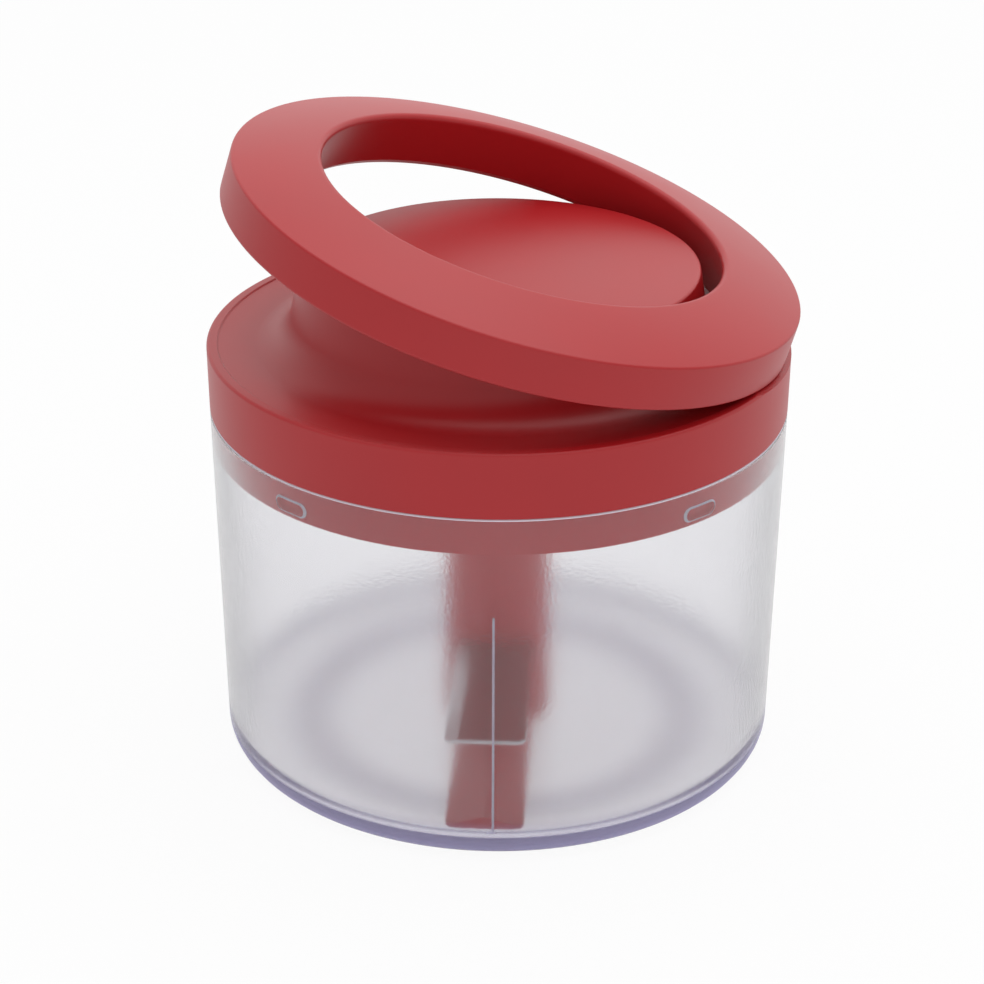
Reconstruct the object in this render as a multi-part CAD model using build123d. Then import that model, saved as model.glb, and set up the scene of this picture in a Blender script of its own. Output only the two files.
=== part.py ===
from build123d import *
from math import acos, asin, ceil, cos, degrees, pi, radians, sin, sqrt, tan
import os

# Food chopper: a frosted bowl with turning blades, under a lid whose ring lever drives them.
# Millimetres, +Z up, origin at the middle of the bowl's underside, the ring's hinge towards +X.
# The ring is drawn closed, round the lid's axis, and then raised, because its spring holds it up at rest.

# Overall form
body_diameter = 130.0
bowl_height = 83.4
lid_wall_height = 14.8
shell = 2.2

# Clearances and cutting
seat_gap = 0.1
running_gap = 0.05
moving_gap = 0.3
pressed_gap = 0.02
cut_past = 1.0

# Bowl
bowl_taper = 1.5
bowl_wall = 2.2
bowl_floor = 3.6
bowl_base_round = 6.0
bowl_floor_round = 5.0
bowl_rim_round = 0.7
floor_dip_inset = 16.3
floor_dip = 0.6
pocket_spread = 42.7
pocket_length = 9.0
pocket_height = 3.5
pocket_depth = 0.6
pocket_drop = 6.0
rib_count = 2
rib_width = 0.5
rib_depth = 0.6
rib_height = 56.0
bowl_turn = -83.0
pivot_boss_diameter = 10.0
pivot_boss_height = 4.0
pivot_diameter = 5.0
pivot_length = 20.0
pivot_sink = 1.6
pivot_tip_round = 1.5

# Blades
blade_turn = -85.0
hub_diameter = 24.6
hub_taper = 0.5
hub_wall = 2.8
hub_solid_height = 24.0
hub_top_gap = 1.5
paddle_lift = 0.6
paddle_thickness = 4.0
paddle_width = 17.0
paddle_edge = 1.4
paddle_tip_gap = 3.8
paddle_corner = 2.5
spigot_diameter = 15.0
spigot_key_width = 3.0
bush_diameter = 8.0
bush_top = 2.0
blade_thickness = 0.8
blade_width = 17.5
blade_tip_gap = 5.8
blade_corner = 2.0
bevel_width = 3.0
bevel_edge = 0.15
tang_width = 11.0
tang_end = 5.6
upper_blade_height = 25.4
lower_blade_height = 13.6
socket_depth = 12.0
socket_floor = 3.0
hex_flats = 8.0
hex_gap = 0.15

# Lid
lid_draft = 0.2
rim_width = 2.1
rim_round = 0.7
dish_width = 20.5
dish_depth = 0.8
dish_round = 8.0
dome_height = 16.6
dome_crown = 1.6
dome_edge_round = 0.7
flank_lean = 9.5
plug_depth = 8.8
plug_gap = 0.3
plug_wall = 2.0
plug_spigot = 4.0
plug_plate_lift = 1.2
plug_plate = 2.0

# Ring lever, drawn closed
ring_gap = 0.3
ring_wall_height = 10.0
ring_draft = 0.1
ring_crown = 4.5
ring_bulge_height = 0.4
ring_bore_gap = 0.7
ring_bore_lean = 4.0
ring_bore_foot_rise = 1.2
ring_edge_round = 0.6
ring_inner_round = 1.5
ring_foot_round = 0.7
cap_edge = 1.6
lever_tilt = 16.2

# Hinge of the ring
hinge_inset = 6.0
hinge_rise = 2.8
hinge_pin_diameter = 2.5
ear_radius = 2.5
ear_width = 2.4
ear_inside = 7.3
knuckle_width = 2.0
spring_wire = 0.6
spring_turns = 3
spring_pitch = 1.05
spring_radius = 2.2

# Toothed drive in the lid
gear_module = 1.0
pressure_angle = 25.0
addendum_share = 0.8
dedendum_share = 1.05
tooth_slack = 0.1
tooth_sink = 0.5
teeth_behind = 1
teeth_spare = 3
idler_teeth = 12
idler_offset = 15.2
idler_axle_diameter = 4.0
drive_teeth = 10
rack_height = 4.6
rack_depth = 5.0
rack_end = 2.0
arm_width = 5.0
arm_hub_diameter = 6.4
arm_flange = 2.0
arm_flange_span = 22.0
shaft_diameter = 5.0
shaft_top_rise = 2.4
shaft_bush_diameter = 8.0
shaft_flange_diameter = 11.0
shaft_flange = 1.5
clip_diameter = 9.0
clip_thickness = 0.8
clip_mouth = 3.4

# Gear carrier
carrier_lift = 2.1
carrier_floor = 1.8
carrier_wall = 2.0
carrier_back = 12.0
carrier_overhang = 18.8
carrier_left = 20.0
carrier_right = 14.0
carrier_corner = 4.0
carrier_boss_diameter = 7.0
carrier_inset = 4.0
axle_wall_width = 11.0
axle_wall_rise = 4.0
bridge_width = 9.0
bridge_thickness = 3.0
bridge_rise = 2.4
bridge_foot = 7.0

# Screws
screw_diameter = 2.4
screw_head_diameter = 4.8
screw_head_height = 1.3
screw_length = 8.0
screw_short_length = 5.0
screw_cross_length = 2.8
screw_cross_width = 0.6
screw_cross_depth = 0.7
screw_boss_diameter = 7.0
base_screw_count = 4
base_screw_inset = 6.3
base_screw_turn = 45.0
lever_screw_count = 6
lever_screw_inset = 8.5

# Heights and radii that follow from the sizes above
body_radius = body_diameter / 2
floor_radius = body_radius - bowl_taper - bowl_wall
blade_length = floor_radius - blade_tip_gap
paddle_length = floor_radius - paddle_tip_gap
lower_blade_turn = blade_turn + 180
dome_radius = body_radius - dish_width
lid_bottom = bowl_height + seat_gap
lid_rim = lid_bottom + lid_wall_height
dish_low = lid_rim - dish_depth
plug_bottom = bowl_height - plug_depth
plate_bottom = plug_bottom + plug_plate_lift
plate_top = plate_bottom + plug_plate
hub_bottom = bowl_floor + paddle_lift + paddle_thickness
hub_top = plate_bottom - hub_top_gap
hub_top_radius = hub_diameter / 2 - hub_taper
pivot_bottom = pivot_sink
pivot_top = pivot_bottom + pivot_length
ring_bottom = lid_rim + ring_gap
ring_shoulder = ring_bottom + ring_wall_height
ring_peak = ring_shoulder + ring_crown
hinge_reach = body_radius - hinge_inset
hinge_height = lid_rim + hinge_rise
ear_outside = ear_inside + ear_width
knuckle_inside = ear_outside + moving_gap
hinge_pin_half = knuckle_inside + knuckle_width
hinge_axis = Axis((hinge_reach, 0, hinge_height), (0, 1, 0))
addendum = gear_module * addendum_share
dedendum = gear_module * dedendum_share
tooth_pitch = gear_module * pi
tooth_thickness = tooth_pitch / 2 - tooth_slack
carrier_bottom = plate_top + carrier_lift
carrier_top = carrier_bottom + carrier_floor
rack_bottom = carrier_top + moving_gap
rack_top = rack_bottom + rack_height
rack_pitch_z = rack_top + dedendum
idler_radius = gear_module * idler_teeth / 2
idler_z = rack_pitch_z + idler_radius
drive_radius = gear_module * drive_teeth / 2
idler_span = sqrt((hinge_reach - idler_offset) ** 2 + (hinge_height - idler_z) ** 2)
sector_teeth_in_circle = round((idler_span - idler_radius) / gear_module * 2)
sector_radius = gear_module * sector_teeth_in_circle / 2
mesh_drop = degrees(asin((hinge_height - idler_z) / (sector_radius + idler_radius)))
idler_x = hinge_reach - (sector_radius + idler_radius) * cos(radians(mesh_drop))
press_travel = sector_radius * radians(lever_tilt)
moving_teeth = ceil(press_travel / tooth_pitch) + teeth_spare
rack_face_y = -drive_radius - dedendum
rack_back_y = rack_face_y - rack_depth
carrier_front = idler_x + carrier_overhang
bridge_bottom = rack_pitch_z + addendum + bridge_rise
bridge_top = bridge_bottom + bridge_thickness
arm_half = arm_width / 2
idler_right_y = arm_half + moving_gap
arm_hub_radius = arm_hub_diameter / 2
window_inner = hinge_reach - arm_hub_radius - moving_gap
tray_floor = ring_bottom + shell

STANDING = (Align.CENTER, Align.CENTER, Align.MIN)


def post(radius, low, high):
    """Upright cylinder on the axis, from one height to another."""
    return Pos(0, 0, low) * Cylinder(radius, high - low, align=STANDING)


def block(low, high):
    """Box between two opposite corners."""
    size = [b - a for a, b in zip(low, high)]
    return Pos(*low) * Box(*size, align=(Align.MIN, Align.MIN, Align.MIN))


def turned(face):
    """Solid that a face in the X-Z plane sweeps round the axis."""
    return revolve(Plane.XZ * face, Axis.Z)


def crosswise(face, left, right):
    """Solid of a face in the X-Z plane, from one Y to another."""
    return Pos(0, right, 0) * extrude(Plane.XZ * face, amount=right - left)


def around(count, first):
    """Evenly spaced turns about the axis."""
    return [Rot(0, 0, first + 360 * i / count) for i in range(count)]


def joined(pieces):
    """One node of separate solids."""
    return Part() + pieces


def raised(piece):
    """A piece of the ring, taken from its closed place to its place at rest."""
    return piece.rotate(hinge_axis, lever_tilt)


def screw(length):
    """Countersunk screw with its head's top at the origin, pointing down."""
    shank = post(screw_diameter / 2, -length, -screw_head_height)
    head = Pos(0, 0, -screw_head_height) * Cone(
        screw_diameter / 2, screw_head_diameter / 2, screw_head_height, align=STANDING
    )
    half, width = screw_cross_length / 2, screw_cross_width / 2
    slot = block((-half, -width, -screw_cross_depth), (half, width, cut_past))
    return shank + head - slot - Rot(0, 0, 90) * slot


def screw_spaces(places, length):
    """Holes for countersunk screws at some places, a little wider than the screws."""
    shank = screw_diameter / 2 + pressed_gap
    head = screw_head_diameter / 2 + pressed_gap
    hole = post(shank, -length - pressed_gap, -screw_head_height)
    hole += Pos(0, 0, -screw_head_height) * Cone(shank, head, screw_head_height, align=STANDING)
    hole += post(head, 0, cut_past)
    return [place * hole for place in places]


# Bowl


def bowl_outside(height):
    """Outer radius of the bowl's slightly tapered wall."""
    return body_radius - bowl_taper * (1 - height / bowl_height)


def bowl_inside(height):
    return bowl_outside(height) - bowl_wall


plug_radius = bowl_inside(plug_bottom) - plug_gap


def pot_face(radius, low, high, corner):
    """Half section of a tapered pot with a rounded lower corner."""
    outline = Polyline((0, low), (radius(low), low), (radius(high), high), (0, high), close=True)
    face = make_face(outline)
    foot = face.vertices().group_by(Axis.Y)[0].sort_by(Axis.X)[-1]
    return fillet(foot, corner)


def bowl():
    body = turned(pot_face(bowl_outside, 0, bowl_height, bowl_base_round))
    body -= turned(pot_face(bowl_inside, bowl_floor, bowl_height + cut_past, bowl_floor_round))
    body = fillet(body.edges().group_by(Axis.Z)[-1], bowl_rim_round)
    dip_floor = bowl_floor - floor_dip
    body -= post(floor_radius - floor_dip_inset, dip_floor, bowl_floor + cut_past)
    body += post(pivot_boss_diameter / 2, dip_floor - floor_dip, dip_floor + pivot_boss_height)
    body -= post(pivot_diameter / 2 + pressed_gap, pivot_bottom, bowl_height)
    pocket_z = bowl_height - pocket_drop
    pocket_plane = Plane((bowl_inside(pocket_z) - cut_past, 0, pocket_z), x_dir=(0, 1, 0), z_dir=(1, 0, 0))
    pocket = extrude(pocket_plane * SlotOverall(pocket_length, pocket_height), amount=cut_past + pocket_depth)
    pocket_turns = [bowl_turn + half_turn + side * pocket_spread for half_turn in (0, 180) for side in (-1, 1)]
    body -= [Rot(0, 0, turn) * pocket for turn in pocket_turns]
    rib_low, rib_high = bowl_floor / 2, bowl_floor + rib_height
    rib_face = make_face(
        Polyline(
            (bowl_inside(rib_low) - rib_depth, rib_low),
            (bowl_inside(rib_low) + bowl_wall / 2, rib_low),
            (bowl_inside(rib_high) + bowl_wall / 2, rib_high),
            (bowl_inside(rib_high) - rib_depth, rib_high),
            close=True,
        )
    )
    rib = crosswise(rib_face, -rib_width / 2, rib_width / 2)
    return body + [place * rib for place in around(rib_count, bowl_turn)]


def pivot_pin():
    pin = post(pivot_diameter / 2, pivot_bottom, pivot_top)
    return fillet(pin.edges().group_by(Axis.Z)[-1], pivot_tip_round)


# Blade assembly


def spigot_key(gap):
    """Key that turns the paddle with the hub."""
    half = spigot_key_width / 2 + gap
    reach = spigot_diameter / 2 + spigot_key_width / 2 + gap
    return block((0, -half, bowl_floor + paddle_lift), (reach, half, hub_bottom))


def blade_section(low):
    """Section of a blade across its length, with the ground edge on the side that leads."""
    half = blade_width / 2
    return make_face(
        Polyline(
            (-half, low),
            (half, low),
            (half, low + bevel_edge),
            (half - bevel_width, low + blade_thickness),
            (-half, low + blade_thickness),
            close=True,
        )
    )


def tang(low, gap):
    """Root of a blade, inside the hub, along +Y."""
    half = tang_width / 2 + gap
    reach = hub_diameter / 2 + gap
    return block((-half, tang_end - gap, low - gap), (half, reach, low + blade_thickness + gap))


def blade(low):
    """Flat blade along +Y with its root in the hub."""
    plan = Pos(0, blade_length / 2) * RectangleRounded(blade_width, blade_length, blade_corner)
    outline = extrude(plan, amount=hub_top)
    body = crosswise(blade_section(low), 0, blade_length) & outline
    return body - post(hub_diameter / 2 + pressed_gap, 0, hub_top) + tang(low, 0)


def facing(piece, turn):
    """A piece drawn along +Y, turned to its direction at rest."""
    return Rot(0, 0, turn - 90) * piece


def drive_hexagon(gap, low, high):
    """Six-sided bar on the axis."""
    section = RegularPolygon(hex_flats / 2 + gap, 6, major_radius=False)
    return Pos(0, 0, low) * extrude(section, amount=high - low)


def hub_section():
    """Half section of the hub's tapered column."""
    foot, top = (hub_diameter / 2, hub_bottom), (hub_top_radius, hub_top)
    return make_face(Polyline((0, hub_bottom), foot, top, (0, hub_top), close=True))


def blade_hub():
    hollow = hub_top_radius - hub_wall
    body = turned(hub_section())
    body += post(spigot_diameter / 2, bowl_floor + paddle_lift, hub_bottom) + spigot_key(0)
    body -= post(hollow, hub_bottom + hub_solid_height, hub_top + cut_past)
    clear = pivot_boss_diameter / 2 + moving_gap
    bush_low = bowl_floor - floor_dip + pivot_boss_height + moving_gap
    body -= post(clear, 0, bush_low)
    body -= post(bush_diameter / 2 + pressed_gap, 0, pivot_top + bush_top)
    body = facing(body, blade_turn)
    for low, turn in ((upper_blade_height, blade_turn), (lower_blade_height, lower_blade_turn)):
        body -= facing(tang(low, pressed_gap), turn)
    return body


def hub_bush():
    low = bowl_floor - floor_dip + pivot_boss_height + moving_gap
    body = post(bush_diameter / 2, low, pivot_top + bush_top)
    return body - post(pivot_diameter / 2 + running_gap, 0, pivot_top + seat_gap)


def drive_socket():
    low = hub_top - socket_depth - socket_floor
    body = post(hub_top_radius - hub_wall - pressed_gap, low, hub_top)
    return facing(body - drive_hexagon(hex_gap, hub_top - socket_depth, hub_top + cut_past), blade_turn)


def floor_paddle():
    low = bowl_floor + paddle_lift
    edge = low + paddle_edge
    half = paddle_width / 2
    section = Polyline((-half, low), (half, low), (half, edge), (0, hub_bottom), (-half, edge), close=True)
    wedge = make_face(section)
    plan = Pos(0, paddle_length / 2) * RectangleRounded(paddle_width, paddle_length, paddle_corner)
    arm = crosswise(wedge, 0, paddle_length) & extrude(plan, amount=hub_top)
    body = arm + post(hub_diameter / 2, low, hub_bottom)
    body -= post(spigot_diameter / 2 + pressed_gap, 0, hub_top) + spigot_key(pressed_gap)
    return facing(body, blade_turn)


# Lid


def flank_radius(height):
    """Radius of the dome's straight, leaning flank."""
    return dome_radius + (lid_rim + dome_height - height) * tan(radians(flank_lean))


def lid_face(wall, inset):
    """Half section of the lid: its wall's points, then dish, flank and dome, all moved in by an inset."""
    lean_inset = inset / cos(radians(flank_lean))
    dish, edge = dish_low - inset, lid_rim + dome_height - inset
    foot = Vector(flank_radius(dish) - lean_inset, dish)
    shoulder = Vector(flank_radius(edge) - lean_inset, edge)
    apex, base = Vector(0, edge + dome_crown), (0, wall[0][1])
    skin = Polyline(base, *wall, foot, shoulder)
    face = make_face([skin, TangentArc(apex, shoulder, tangent=(1, 0)), Line(apex, base)])
    return fillet(face.vertices().sort_by_distance(foot)[0], dish_round + inset)


def outer_lid():
    """Solid inside the lid's outer skin."""
    rim_out, rim_in = (body_radius + lid_draft, lid_rim), (body_radius - rim_width, lid_rim)
    wall = [(body_radius, lid_bottom), rim_out, rim_in, (rim_in[0] - dish_depth, dish_low)]
    dome_edge = (dome_radius, lid_rim + dome_height)
    face = lid_face(wall, 0)
    for corner, size in ((rim_out, rim_round), (rim_in, rim_round / 2), (dome_edge, dome_edge_round)):
        face = fillet(face.vertices().sort_by_distance(corner)[0], size)
    return turned(face)


def inner_lid():
    """Hollow of the lid, open below."""
    inside = body_radius - shell
    return turned(lid_face([(inside, lid_bottom - cut_past), (inside, dish_low - shell)], shell))


def ring_space():
    """Room over the rim, beside the hinge, for the underside of the raised ring."""
    low = ring_bottom - moving_gap
    return raised(post(body_radius + cut_past, low, ring_peak) - post(window_inner, low, ring_peak))


def hinge_tab(foot):
    """Face of a tab round the hinge, down to a height."""
    tab = Pos(hinge_reach, hinge_height) * Circle(ear_radius)
    low, high = (hinge_reach - ear_radius, foot), (hinge_reach + ear_radius, hinge_height)
    return tab + make_face(Polyline(low, (high[0], low[1]), high, (low[0], high[1]), close=True))


def hinge_hole(gap):
    """Space of the hinge's pin."""
    circle = Pos(hinge_reach, hinge_height) * Circle(hinge_pin_diameter / 2 + gap)
    return crosswise(circle, -hinge_pin_half - gap, hinge_pin_half + gap)


def base_screw_places():
    """Screws from below, with their heads in the plug's plate."""
    seat = Pos(plug_radius - plug_wall - base_screw_inset, 0, plate_bottom) * Rot(180, 0, 0)
    return [turn * seat for turn in around(base_screw_count, base_screw_turn)]


def lid_cover():
    outer = outer_lid()
    body = outer - inner_lid() - ring_space()
    boss = post(screw_boss_diameter / 2, plate_bottom - dish_low + shell / 2, -plug_plate)
    body += [(place * boss) & outer for place in base_screw_places()]
    ear = crosswise(hinge_tab(dish_low - shell / 2), ear_inside, ear_outside)
    body += [ear, mirror(ear, Plane.XZ)]
    body -= hinge_hole(pressed_gap)
    slot_in = dome_radius - shell * 2
    slot_half = arm_half + moving_gap * 2
    slot_top = arm_upper_side(slot_in) + moving_gap * 2
    body -= block((slot_in, -slot_half, lid_bottom), (hinge_reach + ear_radius, slot_half, slot_top))
    return body - screw_spaces(base_screw_places(), screw_length)


def carrier_places():
    """Screws of the gear carrier, one near each corner of its floor."""
    left, right = carrier_inset - carrier_left, carrier_right - carrier_inset
    back, front = carrier_inset - carrier_back, carrier_front - carrier_inset
    return [Pos(x, y, carrier_top) for x in (back, front) for y in (left, right)]


def lid_base():
    inside = plug_radius
    seat = body_radius - shell - pressed_gap
    top = lid_bottom + plug_spigot
    outline = Polyline(
        (0, plate_bottom),
        (inside - plug_wall, plate_bottom),
        (inside - plug_wall, plug_bottom),
        (inside, plug_bottom),
        (inside, lid_bottom),
        (seat, lid_bottom + seat_gap),
        (seat, top),
        (inside - plug_wall, top),
        (inside - plug_wall, plate_top),
        (0, plate_top),
        close=True,
    )
    body = turned(make_face(outline))
    boss = post(carrier_boss_diameter / 2, plate_top - carrier_top, carrier_bottom - carrier_top)
    body += [place * boss for place in carrier_places()]
    body -= post(shaft_bush_diameter / 2 + pressed_gap, 0, plate_top + cut_past)
    body -= screw_spaces(carrier_places(), screw_short_length)
    return body - screw_spaces(base_screw_places(), screw_length)


def hinge_pin():
    return hinge_hole(0)


def return_spring():
    """Wound wire round the hinge pin, with one leg up under the ring and one leg down on the dish."""
    start = (hinge_reach, arm_half + moving_gap + spring_wire, hinge_height)
    coil_plane = Plane(start, x_dir=(-1, 0, 0), z_dir=(0, 1, 0))
    coil = coil_plane * Helix(spring_pitch, spring_pitch * spring_turns, spring_radius, lefthand=True)
    upper_leg = cap_underside(hinge_reach - spring_radius) - moving_gap - hinge_height
    lower_leg = hinge_height - dish_low - seat_gap
    upper = Line(coil @ 0 - (coil % 0) * upper_leg, coil @ 0)
    lower = Line(coil @ 1, coil @ 1 + (coil % 1) * lower_leg)
    path = Wire([upper, coil.edge(), lower])
    return sweep(Plane(upper @ 0, z_dir=upper % 0) * Circle(spring_wire / 2), path=path)


# Ring lever


def bore_radius(height):
    """Radius of the ring's leaning inner wall."""
    foot = ring_bottom + ring_bore_foot_rise
    return dome_radius + ring_bore_gap + ring_bore_lean * (ring_peak - height) / (ring_peak - foot)


def rim_radius(height):
    """Radius of the ring's nearly upright outer wall."""
    return body_radius - ring_draft * (height - ring_bottom) / ring_wall_height


def raised_point(x, z):
    """Where a point of the closed ring's middle plane lies at rest."""
    turn = radians(lever_tilt)
    across, up = x - hinge_reach, z - hinge_height
    moved = Vector(across * cos(turn) + up * sin(turn), up * cos(turn) - across * sin(turn))
    return Vector(hinge_reach, hinge_height) + moved


def height_between(low, high, x):
    """Height of the straight line through two points, at a place along X."""
    return low.Y + (high.Y - low.Y) * (x - low.X) / (high.X - low.X)


def cap_underside(x):
    """Height of the cap's inner face at rest, over the hinge's side of the ring."""
    outer = raised_point(body_radius - shell, ring_shoulder - cap_edge)
    inner = raised_point(bore_radius(ring_peak - cap_edge) + shell, ring_peak - cap_edge)
    return height_between(outer, inner, x)


def lever_screw_places():
    """Screws of the ring, from below, with the hinge between two of them."""
    seat = Pos(body_radius - lever_screw_inset, 0, ring_bottom) * Rot(180, 0, 0)
    return [turn * seat for turn in around(lever_screw_count, 180 / lever_screw_count)]


def arm_notch():
    """Gap in the ring's inner wall and tray that the arm sits in."""
    half = arm_half + pressed_gap
    return block((0, -half, 0), (hinge_reach, half, hinge_height + arm_hub_radius))


def hinge_window():
    """Gap in the ring's underside for the ears of the hinge."""
    top = tray_floor + cut_past
    return block((window_inner, -knuckle_inside, 0), (body_radius - shell, knuckle_inside, top))


def lever_top():
    """Crowned ring with its outer and inner walls, open below."""
    foot = ring_bottom + ring_bore_foot_rise
    cap_out, cap_in = ring_shoulder - cap_edge, ring_peak - cap_edge
    outer_low, outer_top = Vector(body_radius, ring_bottom), Vector(rim_radius(ring_shoulder), ring_shoulder)
    inner_top = Vector(bore_radius(ring_peak), ring_peak)
    crown_middle = (outer_top + inner_top) / 2 + Vector(0, ring_bulge_height)
    walls = Polyline(
        inner_top,
        (bore_radius(foot), foot),
        (bore_radius(foot) + ring_bore_foot_rise, ring_bottom),
        (bore_radius(ring_bottom) + shell, ring_bottom),
        (bore_radius(cap_in) + shell, cap_in),
        (body_radius - shell, cap_out),
        (body_radius - shell, ring_bottom),
        outer_low,
        outer_top,
    )
    face = make_face([walls, ThreePointArc(outer_top, crown_middle, inner_top)])
    rounds = ((outer_top, ring_edge_round), (inner_top, ring_inner_round), (outer_low, ring_foot_round))
    for corner, size in rounds:
        face = fillet(face.vertices().sort_by_distance(corner)[0], size)
    body = turned(face)
    boss = post(screw_boss_diameter / 2, -ring_wall_height - cap_edge / 2, -shell)
    body += [place * boss for place in lever_screw_places()]
    body -= arm_notch() + hinge_window()
    body -= screw_spaces(lever_screw_places(), screw_length)
    return raised(body - screw_spaces(arm_screw_places(), screw_short_length))


def lever_tray():
    """Flat plate between the ring's walls, with the knuckles of its hinge."""
    inset = shell + pressed_gap
    outline = Polyline(
        (body_radius - inset, ring_bottom),
        (body_radius - inset, tray_floor),
        (bore_radius(tray_floor) + inset, tray_floor),
        (bore_radius(ring_bottom) + inset, ring_bottom),
        close=True,
    )
    body = turned(make_face(outline))
    knuckle = crosswise(hinge_tab(ring_bottom), knuckle_inside, hinge_pin_half)
    body += [knuckle, mirror(knuckle, Plane.XZ)]
    body -= hinge_hole(running_gap) + arm_notch() + hinge_window()
    body -= screw_spaces(lever_screw_places(), screw_length)
    return raised(body - screw_spaces(arm_screw_places(), screw_short_length))


def flange_inner():
    """Inner end of the arm's flange, against the ring's inner wall."""
    return bore_radius(tray_floor) + shell + moving_gap


def arm_screw_places():
    """Screws from below, up into the arm's flange."""
    x = (flange_inner() + window_inner) / 2
    y = (arm_flange_span - screw_boss_diameter) / 2
    return [Pos(x, side * y, ring_bottom) * Rot(180, 0, 0) for side in (-1, 1)]


def lever_screws():
    return raised(joined([place * screw(screw_length) for place in lever_screw_places()]))


def arm_screws():
    return raised(joined([place * screw(screw_short_length) for place in arm_screw_places()]))


# Gear teeth


def half_tooth(radius, pitch_radius):
    """Half the angle of an involute tooth at a radius, in radians."""
    base = pitch_radius * cos(radians(pressure_angle))

    def roll(at):
        angle = acos(min(base / at, 1))
        return tan(angle) - angle

    return tooth_thickness / (2 * pitch_radius) + roll(pitch_radius) - roll(radius)


def flank_points(pitch_radius, middle, side):
    """Root, pitch and tip points of one tooth flank, on its side of the tooth's middle angle."""
    points = []
    for radius in (pitch_radius - dedendum, pitch_radius, pitch_radius + addendum):
        angle = middle + side * half_tooth(radius, pitch_radius)
        points.append(Vector(radius * cos(angle), radius * sin(angle)))
    return points


def gear_face(count, pitch_radius, first):
    """Outline of a whole gear, with a tooth's middle at the first angle."""
    middles = [radians(first) + 2 * pi * i / count for i in range(count)]
    edges = []
    for middle, following in zip(middles, middles[1:] + middles[:1]):
        rise, fall = flank_points(pitch_radius, middle, -1), flank_points(pitch_radius, middle, 1)
        edges += [ThreePointArc(*rise), ThreePointArc(*fall)]
        edges += [Line(rise[-1], fall[-1]), Line(fall[0], flank_points(pitch_radius, following, -1)[0])]
    return make_face(edges)


def gear_tooth(pitch_radius, middle):
    """One tooth of a large gear, with a root that sinks into its rim."""
    rise, fall = flank_points(pitch_radius, middle, -1), flank_points(pitch_radius, middle, 1)
    sunk = [point * (1 - tooth_sink / pitch_radius) for point in (rise[0], fall[0])]
    edges = [ThreePointArc(*rise), Line(rise[-1], fall[-1]), ThreePointArc(*fall)]
    return make_face(edges + [Polyline(fall[0], sunk[1], sunk[0], rise[0])])


def rack_tooth(middle, pitch_height):
    """One straight-sided rack tooth, pointing up from its pitch line."""
    slope = tan(radians(pressure_angle))
    tip, root = tooth_thickness / 2 - addendum * slope, tooth_thickness / 2 + dedendum * slope
    top, low = pitch_height + addendum, pitch_height - dedendum
    return make_face(
        Polyline(
            (middle - root, low - tooth_sink),
            (middle - root, low),
            (middle - tip, top),
            (middle + tip, top),
            (middle + root, low),
            (middle + root, low - tooth_sink),
            close=True,
        )
    )


# Drive


def arm_tooth_angles():
    """Middle angles of the arm's teeth about the hinge with the ring closed, from the lowest tooth up."""
    closed_mesh = 180 + mesh_drop + lever_tilt
    step = 360 / sector_teeth_in_circle
    return [closed_mesh + step * (teeth_behind - i) for i in range(moving_teeth)]


def arm_corners():
    """Lower and upper corners of the arm's toothed end, from the hinge, and their angles."""
    half_step = 180 / sector_teeth_in_circle
    angles = arm_tooth_angles()
    ends = [radians(angles[0] + half_step), radians(angles[-1] - half_step)]
    root = sector_radius - dedendum
    return [Vector(root * cos(a), root * sin(a)) for a in ends], ends


def arm_upper_side(x):
    """Height of the arm's upper side at rest, at a place along X."""
    _, upper = arm_corners()[0]
    corner = raised_point(hinge_reach + upper.X, hinge_height + upper.Y)
    return height_between(raised_point(hinge_reach, hinge_height + arm_hub_radius), corner, x)


def lever_arm():
    """Arm on the ring, with its toothed end in mesh with the idler pinion when the ring is up."""
    (lower, upper), ends = arm_corners()
    middle = sum(ends) / 2
    belly = Vector(cos(middle), sin(middle)) * lower.length
    under, over = [Vector(-sin(a), cos(a)) * arm_hub_radius for a in ends]
    web = make_face([Polyline(upper, over * -1, under, lower), ThreePointArc(lower, belly, upper)])
    teeth = [gear_tooth(sector_radius, radians(a)) for a in arm_tooth_angles()]
    at_hinge = Pos(hinge_reach, hinge_height)
    body = crosswise(at_hinge * (web + Circle(arm_hub_radius) + teeth), -arm_half, arm_half)
    body += crosswise(at_hinge * Circle(arm_hub_radius), moving_gap - ear_inside, 0)
    span = arm_flange_span / 2
    body += block((flange_inner(), -span, tray_floor), (window_inner, span, tray_floor + arm_flange))
    body -= hinge_hole(running_gap)
    return raised(body - screw_spaces(arm_screw_places(), screw_short_length))


def idler_pinion():
    """Wide pinion, with a gap between teeth towards the hinge at rest."""
    face = gear_face(idler_teeth, idler_radius, mesh_drop + 180 / idler_teeth)
    face -= Circle(idler_axle_diameter / 2 + running_gap)
    return crosswise(Pos(idler_x, idler_z) * face, rack_back_y, idler_right_y)


def axle_walls():
    """Inner and outer Y of the carrier's two walls that hold the idler's axle."""
    left = rack_back_y - moving_gap
    right = idler_right_y + moving_gap
    return (left - carrier_wall, left), (right, right + carrier_wall)


def idler_axle():
    (left, _), (_, right) = axle_walls()
    return crosswise(Pos(idler_x, idler_z) * Circle(idler_axle_diameter / 2), left, right)


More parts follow.
